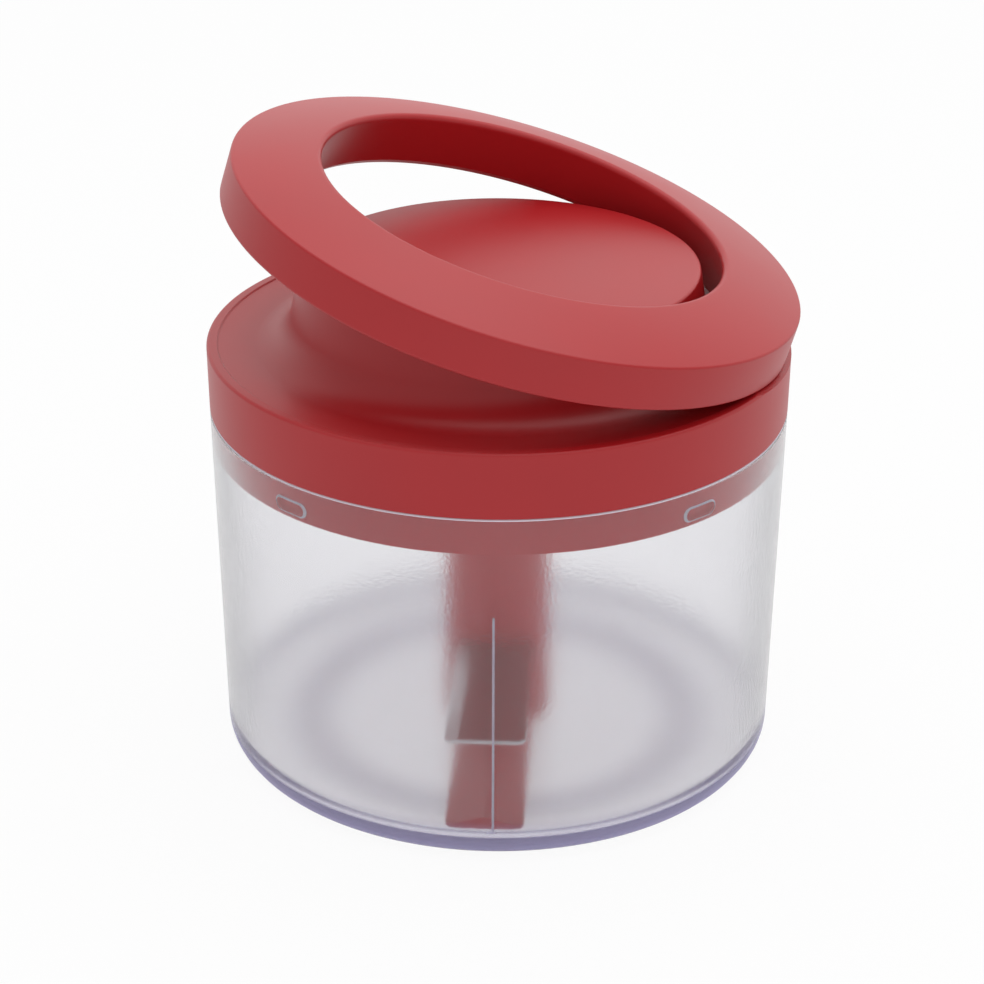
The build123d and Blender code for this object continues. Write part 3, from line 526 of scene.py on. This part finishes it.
def grown(mesh, tree, **values):
    """Plain mesh that a geometry tree makes of a mesh, with values for the tree's named inputs."""
    holder = on_scene(tree.name, mesh)
    modifier = holder.modifiers.new(tree.name, "NODES")
    modifier.node_group = tree
    for socket in tree.interface.items_tree:
        if socket.name in values:
            modifier[socket.identifier] = values[socket.name]
    made = plain_mesh(holder)
    bpy.data.objects.remove(holder)
    return made


def carved(mesh, *steps):
    """Plain mesh after cuts and joins, each given as an operation and the mesh that makes it."""
    body = on_scene("Body", mesh)
    tools = []
    for operation, tool_mesh in steps:
        tools.append(on_scene("Tool", tool_mesh))
        modifier = body.modifiers.new(operation, "BOOLEAN")
        modifier.operation = operation
        modifier.object = tools[-1]
        modifier.solver = "MANIFOLD"
    made = plain_mesh(body)
    for used in (body, *tools):
        bpy.data.objects.remove(used)
    return made


def points_mesh(points, joined=False):
    """Mesh of loose points, or of a line through them."""
    mesh = bpy.data.meshes.new("Points")
    mesh.from_pydata([tuple(p) for p in points], [(i - 1, i) for i in range(1, len(points)) if joined], [])
    return mesh


def loft(start, end):
    """Closed block between two flat outlines with as many points."""
    shape = bmesh.new()
    near = [shape.verts.new(p) for p in start]
    far = [shape.verts.new(p) for p in end]
    shape.faces.new(near)
    shape.faces.new(far)
    for i in range(len(near)):
        shape.faces.new((near[i - 1], near[i], far[i], far[i - 1]))
    bmesh.ops.recalc_face_normals(shape, faces=shape.faces)
    mesh = bpy.data.meshes.new("Block")
    shape.to_mesh(mesh)
    shape.free()
    return mesh


def slab(outline, along):
    """Closed block with a flat outline, as thick as a vector says."""
    return loft(outline, [Vector(p) + Vector(along) for p in outline])


def block(low, high):
    """Box between two opposite corners."""
    (x, y, z), (far_x, far_y, far_z) = low, high
    outline = [(x, y, z), (far_x, y, z), (far_x, far_y, z), (x, far_y, z)]
    return slab(outline, (0, 0, far_z - z))


def arc(centre, radius, start, end, steps=16):
    """Points in a plane along part of a circle."""
    turns = [math.radians(start + (end - start) * i / steps) for i in range(steps + 1)]
    return [(centre[0] + radius * math.cos(t), centre[1] + radius * math.sin(t)) for t in turns]


def rounded(corners, steps=9, hold_share=0.3, hold_most=0.25 * MM):
    """Section through corners (x, z, round): arcs, and points that hold the runs beside them flat."""
    points = []
    for i, (x, z, size) in enumerate(corners):
        here = Vector((x, z))
        if not size:
            points.append(here)
            continue
        back = (Vector(corners[i - 1][:2]) - here).normalized()
        ahead = (Vector(corners[(i + 1) % len(corners)][:2]) - here).normalized()
        half = back.angle(ahead) / 2
        start = back * (size / math.tan(half))
        end = ahead * (size / math.tan(half))
        centre = (back + ahead).normalized() * (size / math.sin(half))
        hold = min(size * hold_share, hold_most)
        points.append(here + start + back * hold)
        for step in range(steps + 1):
            points.append(here + centre + (start - centre).slerp(end - centre, step / steps) * size)
        points.append(here + end + ahead * hold)
    return points


def turned(section, finish, segments=SEGMENTS):
    """Closed skin of a section that turns about the upright axis."""
    points = [(p[0], 0, p[1]) for p in section]
    tree = bpy.data.node_groups.get("Turned_Skin") or turned_skin_tree()
    return grown(points_mesh(points), tree, Segments=segments, Finish=material(finish))


def ring_of(mesh, count, first, finish):
    """Copies of a mesh round the upright axis."""
    tree = bpy.data.node_groups.get("Ring_Of_Copies") or ring_of_copies_tree()
    return grown(mesh, tree, Count=count, First=first, Finish=material(finish))


def stand_in(name, mesh, finish, body, node):
    """Finished piece that stands for a node, and rides on its body if it has one body."""
    mesh.materials.clear()
    mesh.materials.append(material(finish))
    mesh.polygons.foreach_set("material_index", [0] * len(mesh.polygons))
    mesh.shade_smooth()
    mesh.set_sharp_from_angle(angle=SHARP)
    mesh.name = name
    made = on_scene(name, mesh)
    if body:
        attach(made, body)
    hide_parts(node)
    return made


# Shared places


def lid_bottom(sizes):
    return sizes.bowl_height + sizes.seat_gap


def lid_rim(sizes):
    return lid_bottom(sizes) + sizes.lid_wall


def dish_low(sizes):
    return lid_rim(sizes) - sizes.dish_depth


def ring_bottom(sizes):
    return lid_rim(sizes) + sizes.ring_gap


def hinge_place(sizes):
    return Vector((sizes.body / 2 - sizes.hinge_inset, 0, lid_rim(sizes) + sizes.hinge_rise))


def raised(mesh, sizes):
    """Takes a mesh of the closed ring to its place at rest."""
    hinge = Matrix.Translation(hinge_place(sizes))
    mesh.transform(hinge @ Matrix.Rotation(sizes.ring_tilt, 4, "Y") @ hinge.inverted())
    return mesh


def screw_bosses(sizes, reach, low, high, count):
    """Ring of hollow bosses that screws cut their thread in, half a step from the X axis."""
    outer, bore = sizes.screw_boss / 2, sizes.screw / 2
    top = high - sizes.skin_wall
    ease = sizes.edge_ease
    section = [(0, top, 0), (bore, top, 0), (bore, low, 0)]
    section += [(outer, low, ease), (outer, high, 0), (0, high, 0)]
    mesh = turned(rounded(section), "red", segments=32)
    mesh.transform(Matrix.Translation((reach, 0, 0)))
    return ring_of(mesh, count, math.pi / count, "red")


# Pieces


class Modelled:
    """What the operators share that model a piece from the panel's sizes."""

    def execute(self, context):
        self.model(context.scene.chopper_sizes)
        return {"FINISHED"}


class CHOPPER_OT_bowl(Modelled, bpy.types.Operator):
    """Models the frosted bowl, with its pivot boss, pockets and ribs"""

    bl_idname = "chopper.bowl"
    bl_label = "Model bowl"

    def model(self, sizes):
        skin = turned(rounded(self.section(sizes)), "bowl")
        first, spread = sizes.bowl_turn, sizes.pocket_spread
        before = ring_of(self.pocket(sizes), 2, first - spread, "bowl")
        after = ring_of(self.pocket(sizes), 2, first + spread, "bowl")
        ribs = ring_of(self.rib(sizes), 2, first, "bowl")
        mesh = carved(skin, ("DIFFERENCE", before), ("DIFFERENCE", after), ("UNION", ribs))
        self.mark_edges(mesh, sizes)
        stand_in("Bowl_Body", mesh, "bowl", "bowl", "bowl")

    def outside(self, sizes, height):
        return sizes.body / 2 - sizes.bowl_taper * (1 - height / sizes.bowl_height)

    def inside(self, sizes, height):
        return self.outside(sizes, height) - sizes.bowl_wall

    def section(self, sizes):
        top, floor = sizes.bowl_height, sizes.bowl_floor
        low = floor - sizes.dip
        boss, boss_top = sizes.boss / 2, low + sizes.boss_height
        ease = sizes.edge_ease
        return [
            (0, 0, 0),
            (self.outside(sizes, 0), 0, sizes.base_round),
            (self.outside(sizes, top), top, sizes.bowl_rim_round),
            (self.inside(sizes, top), top, sizes.bowl_rim_round),
            (self.inside(sizes, floor), floor, sizes.floor_round),
            (sizes.dip_radius, floor, ease / 2),
            (sizes.dip_radius, low, ease / 2),
            (boss, low, ease),
            (boss, boss_top, ease),
            (sizes.pivot / 2, boss_top, ease),
            (sizes.pivot / 2, sizes.pivot_sink, 0),
            (0, sizes.pivot_sink, 0),
        ]

    def pocket(self, sizes):
        """Cutter of a pocket with sloping sides, at the wall on the X axis."""
        middle = sizes.bowl_height - sizes.pocket_drop
        wall = self.inside(sizes, middle)
        straight = (sizes.pocket_length - sizes.pocket_height) / 2
        rows = []
        for side in (-1, 1):
            depth, inset = side * sizes.pocket_depth, side * sizes.pocket_slope
            end = sizes.pocket_height / 2 - inset / 2
            outline = arc((straight, middle), end, -90, 90) + arc((-straight, middle), end, 90, 270)
            rows.append([(wall + depth, y, z) for y, z in outline])
        return loft(*rows)

    def mark_edges(self, mesh, sizes):
        """Marks the faces with a painted glow for light that leaves the wall: rim, ribs, pockets' sides."""
        middle = sizes.bowl_height - sizes.pocket_drop
        across = Vector((-math.sin(sizes.bowl_turn), math.cos(sizes.bowl_turn)))
        near, pocket_floor = 0.02 * MM, 0.9
        marks = []
        for face in mesh.polygons:
            x, y, z = face.center
            outwards = Vector((x, y))
            past_wall = outwards.length - self.inside(sizes, z)
            faces_axis = abs(face.normal.xy @ outwards.normalized())
            at_rim = z > sizes.bowl_height - sizes.bowl_rim_round / 2
            in_pocket = abs(z - middle) < sizes.pocket_height and near < past_wall < sizes.pocket_depth
            in_front = abs(across @ outwards) < sizes.rib_width / 2 + near
            on_rib = in_front and -sizes.rib_depth - near < past_wall < -near
            on_rib = on_rib and z > sizes.bowl_floor + sizes.rib_depth
            marks.append(float(at_rim or on_rib or (in_pocket and faces_axis < pocket_floor)))
        mesh.attributes.new(EDGE_MARK, "FLOAT", "FACE").data.foreach_set("value", marks)

    def rib(self, sizes):
        low, high = sizes.rib_foot, sizes.bowl_floor + sizes.rib_height
        depth, root = sizes.rib_depth, sizes.bowl_wall / 2
        foot, head = self.inside(sizes, low), self.inside(sizes, high)
        outline = [(foot - depth, low), (foot + root, low), (head + root, high), (head - depth, high)]
        return slab([(x, -sizes.rib_width / 2, z) for x, z in outline], (0, sizes.rib_width, 0))


class CHOPPER_OT_lid(Modelled, bpy.types.Operator):
    """Models the lid, with its rim, dish and dome, the arm's slot and the hinge's ears"""

    bl_idname = "chopper.lid"
    bl_label = "Model lid"

    def model(self, sizes):
        skin = turned(rounded(self.section(sizes)), "red")
        top = dish_low(sizes) - sizes.skin_wall / 2
        low = sizes.base_seat + sizes.base_plate
        bosses = screw_bosses(sizes, sizes.base_reach, low, top, sizes.lid_screws)
        mesh = carved(
            skin,
            ("DIFFERENCE", self.ring_room(sizes)),
            ("UNION", bosses),
            ("UNION", self.ear(sizes, sizes.ear_inside)),
            ("UNION", self.ear(sizes, -sizes.ear_inside - sizes.ear_width)),
            ("DIFFERENCE", self.pin_hole(sizes)),
            ("DIFFERENCE", self.slot(sizes)),
        )
        stand_in("Lid_Body", mesh, "red", "lid", "lid_cover")

    def dome(self, sizes, inset):
        """Dish, flank and crown of the lid, from the wall in to the axis, moved in by an inset."""
        lean = math.tan(sizes.flank_lean)
        aside = inset / math.cos(sizes.flank_lean)
        dish, edge = dish_low(sizes) - inset, lid_rim(sizes) + sizes.dome_height - inset
        foot = sizes.dome_radius + (edge + inset - dish) * lean - aside
        shoulder = sizes.dome_radius + inset * lean - aside
        steps = 12
        crown = [
            (shoulder * (1 - t), edge + sizes.dome_crown * (1 - (1 - t) ** 2), 0)
            for t in (i / steps for i in range(1, steps + 1))
        ]
        return [(foot, dish, sizes.dish_round + inset), (shoulder, edge, sizes.dome_round), *crown]

    def section(self, sizes):
        wall, bottom, rim = sizes.body / 2, lid_bottom(sizes), lid_rim(sizes)
        ease = sizes.edge_ease
        inside = wall - sizes.skin_wall
        rim_in = wall - sizes.rim_width
        outer = [
            (wall, bottom, ease),
            (wall + sizes.lid_draft, rim, sizes.rim_round),
            (rim_in, rim, ease),
            (rim_in - sizes.rim_step, rim - sizes.rim_step, ease),
            (rim_in - sizes.dish_rise, dish_low(sizes), sizes.dish_ease),
            *self.dome(sizes, 0),
        ]
        inner = [
            (inside, bottom, ease),
            (inside, dish_low(sizes) - sizes.skin_wall, ease),
            *self.dome(sizes, sizes.skin_wall),
        ]
        return inner[::-1] + outer

    def ring_room(self, sizes):
        """Cutter of the room over the rim, beside the hinge, for the underside of the raised ring."""
        reach = sizes.body
        low = lid_rim(sizes)
        return raised(block((sizes.window_in, -reach, low), (reach, reach, low + reach)), sizes)

    def ear(self, sizes, start):
        x, _, z = hinge_place(sizes)
        radius = sizes.ear_radius
        foot = dish_low(sizes) - sizes.skin_wall / 2
        outline = [(x - radius, foot), (x + radius, foot)] + arc((x, z), radius, 0, 180)
        return slab([(a, start, b) for a, b in outline], (0, sizes.ear_width, 0))

    def pin_hole(self, sizes):
        x, _, z = hinge_place(sizes)
        half = sizes.window_half
        sides = 24
        outline = arc((x, z), sizes.hinge_pin / 2, 0, 360 - 360 / sides, sides - 1)
        return slab([(a, -half, b) for a, b in outline], (0, half * 2, 0))

    def slot(self, sizes):
        half = sizes.slot_width / 2
        far = hinge_place(sizes).x + sizes.ear_radius
        return block((sizes.slot_in, -half, lid_bottom(sizes)), (far, half, sizes.slot_top))


class CHOPPER_OT_ring(Modelled, bpy.types.Operator):
    """Models the ring lever, hollow below, with its screw bosses, and raises it to its place at rest"""

    bl_idname = "chopper.ring"
    bl_label = "Model ring"

    def model(self, sizes):
        section = rounded(self.section(sizes))
        skin = turned([*section, section[0]], "red")
        low = ring_bottom(sizes) + sizes.skin_wall
        top = ring_bottom(sizes) + sizes.ring_wall + sizes.cap_edge / 2
        bosses = screw_bosses(sizes, sizes.ring_reach, low, top, sizes.ring_screws)
        notch, window = self.notch(sizes), self.window(sizes)
        mesh = carved(skin, ("UNION", bosses), ("DIFFERENCE", notch), ("DIFFERENCE", window))
        stand_in("Ring_Body", raised(mesh, sizes), "red", "lever", "lever_top")

    def section(self, sizes):
        wall, low = sizes.body / 2, ring_bottom(sizes)
        shoulder, foot = low + sizes.ring_wall, low + sizes.bore_foot
        peak = shoulder + sizes.ring_crown
        ease = sizes.edge_ease

        def bore(height):
            return sizes.dome_radius + sizes.bore_gap + sizes.bore_lean * (peak - height) / (peak - foot)

        outer_top = Vector((wall - sizes.ring_draft, shoulder))
        inner_top = Vector((bore(peak), peak))
        crown, steps = [], 6
        for i in range(1, steps):
            t = i / steps
            point = outer_top.lerp(inner_top, t)
            crown.append((point.x, point.y + sizes.ring_bulge * 4 * t * (1 - t), 0))
        cap_out, cap_in = shoulder - sizes.cap_edge, peak - sizes.cap_edge
        return [
            (*inner_top, sizes.ring_inner_round),
            (bore(foot), foot, ease),
            (bore(foot) + sizes.bore_foot, low, ease),
            (bore(low) + sizes.skin_wall, low, ease / 2),
            (bore(cap_in) + sizes.skin_wall, cap_in, ease),
            (wall - sizes.skin_wall, cap_out, ease),
            (wall - sizes.skin_wall, low, ease / 2),
            (wall, low, sizes.ring_foot_round),
            (*outer_top, sizes.ring_edge_round),
            *crown,
        ]

    def notch(self, sizes):
        """Cutter of the gap in the inner wall that the arm sits in."""
        x, _, z = hinge_place(sizes)
        return block((0, -sizes.notch_half, 0), (x, sizes.notch_half, z + sizes.arm_hub))

    def window(self, sizes):
        """Cutter of the gap for the hinge's ears."""
        half = sizes.window_half
        far = sizes.body / 2 - sizes.skin_wall
        top = ring_bottom(sizes) + sizes.window_rise
        return block((sizes.window_in, -half, 0), (far, half, top))


class CHOPPER_OT_screws(Modelled, bpy.types.Operator):
    """Models the countersunk screws of the lid, the ring, the arm and the gear carrier"""

    bl_idname = "chopper.screws"
    bl_label = "Model screws"

    def model(self, sizes):
        low = ring_bottom(sizes)
        half = sizes.arm_half
        corners = [
            (x, y, sizes.carrier_seat)
            for x in (sizes.carrier_back, sizes.carrier_front)
            for y in (sizes.carrier_left, sizes.carrier_right)
        ]
        around_lid = self.circle(sizes.base_reach, sizes.base_seat, sizes.lid_screws)
        around_ring = self.circle(sizes.ring_reach, low, sizes.ring_screws)
        at_arm = [(sizes.arm_reach, -half, low), (sizes.arm_reach, half, low)]
        long, short = sizes.screw_length, sizes.screw_short
        for name, node, body, size, places, tip in (
            ("Lid_Screws", "base_screws", "lid", long, around_lid, math.pi),
            ("Carrier_Screws", "carrier_screws", "lid", short, corners, 0.0),
            ("Ring_Screws", "lever_screws", "lever", long, around_ring, math.pi),
            ("Arm_Screws", "arm_screws", "lever", short, at_arm, math.pi),
        ):
            mesh = self.driven(sizes, size, places, tip)
            if body == "lever":
                raised(mesh, sizes)
            stand_in(name, mesh, "turned", body, node)

    def circle(self, radius, height, count):
        """Evenly spaced places on a circle, half a step from the X axis."""
        turns = [math.tau * (i + 0.5) / count for i in range(count)]
        return [(radius * math.cos(t), radius * math.sin(t), height) for t in turns]

    def screw(self, sizes, size):
        """Countersunk screw with its head's top at the origin, pointing down."""
        shank, head, ease = sizes.screw / 2, sizes.screw_head / 2, sizes.edge_ease
        section = [(0, -size), (shank - ease, -size), (shank, ease - size), (shank, -sizes.head_height)]
        section += [(head, -ease / 3), (head, 0), (0, 0)]
        body = turned(section, "turned", segments=40)
        half, width, depth = sizes.cross_length / 2, sizes.cross_width / 2, sizes.cross_depth
        bar = block((-half, -width, -depth), (half, width, depth))
        cross = block((-width, -half, -depth), (width, half, depth))
        return carved(body, ("DIFFERENCE", bar), ("DIFFERENCE", cross))

    def driven(self, sizes, size, places, tip):
        """One mesh of the screws at some places."""
        pattern = on_scene("Screw", self.screw(sizes, size))
        tree = bpy.data.node_groups.get("Driven_Screws") or driven_screws_tree()
        mesh = grown(points_mesh(places), tree, Screw=pattern, Tip=tip, Seed=SEED, Finish=material("turned"))
        bpy.data.objects.remove(pattern)
        return mesh


class CHOPPER_OT_spring(Modelled, bpy.types.Operator):
    """Winds the return spring on the hinge pin, with one leg on the ring and one on the lid"""

    bl_idname = "chopper.spring"
    bl_label = "Wind return spring"

    def model(self, sizes):
        hinge = hinge_place(sizes)
        line = points_mesh(self.line(sizes, hinge), joined=True)
        mesh = grown(line, wound_wire_tree(), Radius=sizes.spring_wire / 2, Finish=material("wire"))
        made = stand_in("Return_Spring", mesh, "wire", None, "return_spring")
        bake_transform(made)

    def line(self, sizes, hinge):
        """Middle of the wire: down the ring's leg, round the pin and down the lid's leg."""
        radius, pitch, steps = sizes.spring_radius, sizes.spring_pitch, 28
        coil = []
        for i in range(steps * sizes.spring_turns + 1):
            turn = math.tau * i / steps
            along = sizes.spring_start + pitch * turn / math.tau
            coil.append(hinge + Vector((-radius * math.cos(turn), along, -radius * math.sin(turn))))
        low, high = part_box("return_spring")
        down = Vector((0, pitch / math.tau, -radius)).normalized()
        return [coil[0] - down * (high.z - hinge.z), *coil, coil[-1] + down * (hinge.z - low.z)]


class CHOPPER_OT_mouldings(bpy.types.Operator):
    """Finishes the red mouldings under the lid, under the ring and in the bowl"""

    bl_idname = "chopper.mouldings"
    bl_label = "Finish red mouldings"

    def execute(self, context):
        finish_nodes(MOULDINGS)
        return {"FINISHED"}


class CHOPPER_OT_works(bpy.types.Operator):
    """Finishes the gears, bushes, pins, blades and the clip"""

    bl_idname = "chopper.works"
    bl_label = "Finish works"

    def execute(self, context):
        finish_nodes(WORKS)
        return {"FINISHED"}


class CHOPPER_OT_stage(bpy.types.Operator):
    """Sets the floor, the lights, the white background and the camera"""

    bl_idname = "chopper.stage"
    bl_label = "Set stage"

    def execute(self, context):
        stage = context.scene.chopper_stage
        context.scene.view_settings.view_transform = "Standard"
        self.light_room(context.scene, stage)
        self.lay_floor(stage)
        self.hang_lamps(stage)
        self.place_camera(context.scene, stage)
        return {"FINISHED"}

    def seen_directly(self, tree, beyond=1.0):
        """One where the camera sees the background, a share where gloss or the bowl shows it, else zero."""
        path = add(tree, "ShaderNodeLightPath").outputs
        glossy, through = path["Is Glossy Ray"], path["Is Transmission Ray"]
        bent = add(tree, "ShaderNodeMath", {0: glossy, 1: through}, operation="MAXIMUM")
        dimmed = add(tree, "ShaderNodeMath", {0: bent, 1: beyond}, operation="MULTIPLY")
        return add(tree, "ShaderNodeMath", {0: path["Is Camera Ray"], 1: dimmed}, operation="MAXIMUM")

    def light_room(self, scene, stage):
        world = bpy.data.worlds.new("White_Room")
        world.use_nodes = True
        tree = world.node_tree
        tree.nodes.clear()
        towards = add(tree, "ShaderNodeTexCoord").outputs["Generated"]
        back = add(tree, "ShaderNodeSeparateXYZ", {"Vector": towards}).outputs["Y"]
        grades = {"Value": back, "From Max": 0.8, "To Min": stage.front_light, "To Max": stage.back_light}
        graded = add(tree, "ShaderNodeMapRange", grades)
        even, white, sweep = (
            add(tree, "ShaderNodeBackground", {"Color": (1, 1, 1, 1), "Strength": strength})
            for strength in (stage.room_light, 1.0, graded)
        )
        mixed = add(tree, "ShaderNodeMixShader", {0: self.seen_directly(tree), 1: even, 2: white})
        glossy = add(tree, "ShaderNodeLightPath").outputs["Is Glossy Ray"]
        room = add(tree, "ShaderNodeMixShader", {0: glossy, 1: mixed, 2: sweep})
        add(tree, "ShaderNodeOutputWorld", {"Surface": room})
        scene.world = world

    def lay_floor(self, stage):
        # Paper sweep: matt white card with a faint tooth, lit to plain white, shaded only under the object.
        made, tree, place = new_material("Pale_Paper_Sweep")
        fibre = add(tree, "ShaderNodeTexNoise", {"Vector": place, "Scale": per_mm(1.5), "Detail": 2.0})
        relief = add(tree, "ShaderNodeBump", {"Height": fibre, "Strength": 0.05, "Distance": 0.05 * MM})
        paper = add(tree, "ShaderNodeBsdfDiffuse", {"Color": linear(stage.floor), "Normal": relief})
        glow = add(tree, "ShaderNodeEmission", {"Color": (1, 1, 1, 1), "Strength": 1.0})
        seen = self.seen_directly(tree, stage.floor_dim)
        share = add(tree, "ShaderNodeMath", {0: seen, 1: stage.floor_glow}, operation="MULTIPLY")
        mixed = add(tree, "ShaderNodeMixShader", {0: share, 1: paper, 2: glow})
        add(tree, "ShaderNodeOutputMaterial", {"Surface": mixed})
        half, cells, drop = 3.0, 8, 0.2 * MM
        sheet = bmesh.new()
        bmesh.ops.create_grid(sheet, x_segments=cells, y_segments=cells, size=half)
        mesh = bpy.data.meshes.new("Floor")
        sheet.to_mesh(mesh)
        sheet.free()
        mesh.materials.append(made)
        floor = on_scene("Floor", mesh)
        floor.location.z = -drop

    def hang_lamps(self, stage):
        for name, place, size, power in LAMPS:
            lamp = bpy.data.lights.new(name, "AREA")
            lamp.energy = getattr(stage, power)
            lamp.shape = "SQUARE"
            lamp.size = size
            made = on_scene(name, lamp)
            made.location = place
            made.rotation_euler = (Vector(LAMPS_AIM) - Vector(place)).to_track_quat("-Z", "Y").to_euler()

    def place_camera(self, scene, stage):
        yaw, pitch, roll = stage.yaw, stage.pitch, stage.roll
        ahead = Vector((math.sin(yaw) * math.cos(pitch), math.cos(yaw) * math.cos(pitch), -math.sin(pitch)))
        level = Vector((math.cos(yaw), -math.sin(yaw), 0))
        down = ahead.cross(level)
        right = level * math.cos(roll) + down * math.sin(roll)
        up = level * math.sin(roll) - down * math.cos(roll)
        data = bpy.data.cameras.new("Camera")
        data.lens = stage.lens
        data.sensor_width = SENSOR
        camera = on_scene("Camera", data)
        turn = Matrix((right, up, -ahead)).transposed()
        camera.matrix_world = Matrix.Translation(Vector(stage.eye)) @ turn.to_4x4()
        scene.camera = camera


class CHOPPER_PT_panel(bpy.types.Panel):
    """Lists the chopper's pieces and values"""

    bl_idname = "CHOPPER_PT_panel"
    bl_label = "Food chopper"
    bl_space_type = "VIEW_3D"
    bl_region_type = "UI"
    bl_category = "Chopper"

    def draw(self, context):
        layout = self.layout
        for piece in PIECES:
            layout.operator(piece.bl_idname)
        for name in GROUPS:
            box = layout.box()
            group = getattr(context.scene, name)
            for value in group.__annotations__:
                box.prop(group, value, text=value.replace("_", " ").capitalize())


PIECES = (
    CHOPPER_OT_bowl,
    CHOPPER_OT_lid,
    CHOPPER_OT_ring,
    CHOPPER_OT_screws,
    CHOPPER_OT_spring,
    CHOPPER_OT_mouldings,
    CHOPPER_OT_works,
    CHOPPER_OT_stage,
)
GROUPS = {"chopper_sizes": ChopperSizes, "chopper_colours": ChopperColours, "chopper_stage": ChopperStage}


def register():
    for cls in (*GROUPS.values(), *PIECES, CHOPPER_PT_panel):
        bpy.utils.register_class(cls)
    for name, group in GROUPS.items():
        setattr(bpy.types.Scene, name, bpy.props.PointerProperty(type=group))


def unregister():
    for name in GROUPS:
        delattr(bpy.types.Scene, name)
    for cls in reversed((*GROUPS.values(), *PIECES, CHOPPER_PT_panel)):
        bpy.utils.unregister_class(cls)


def main():
    register()
    bpy.ops.chopper.bowl()
    bpy.ops.chopper.lid()
    bpy.ops.chopper.ring()
    bpy.ops.chopper.screws()
    bpy.ops.chopper.spring()
    bpy.ops.chopper.mouldings()
    bpy.ops.chopper.works()
    bpy.ops.chopper.stage()


if __name__ == "__main__":
    main()
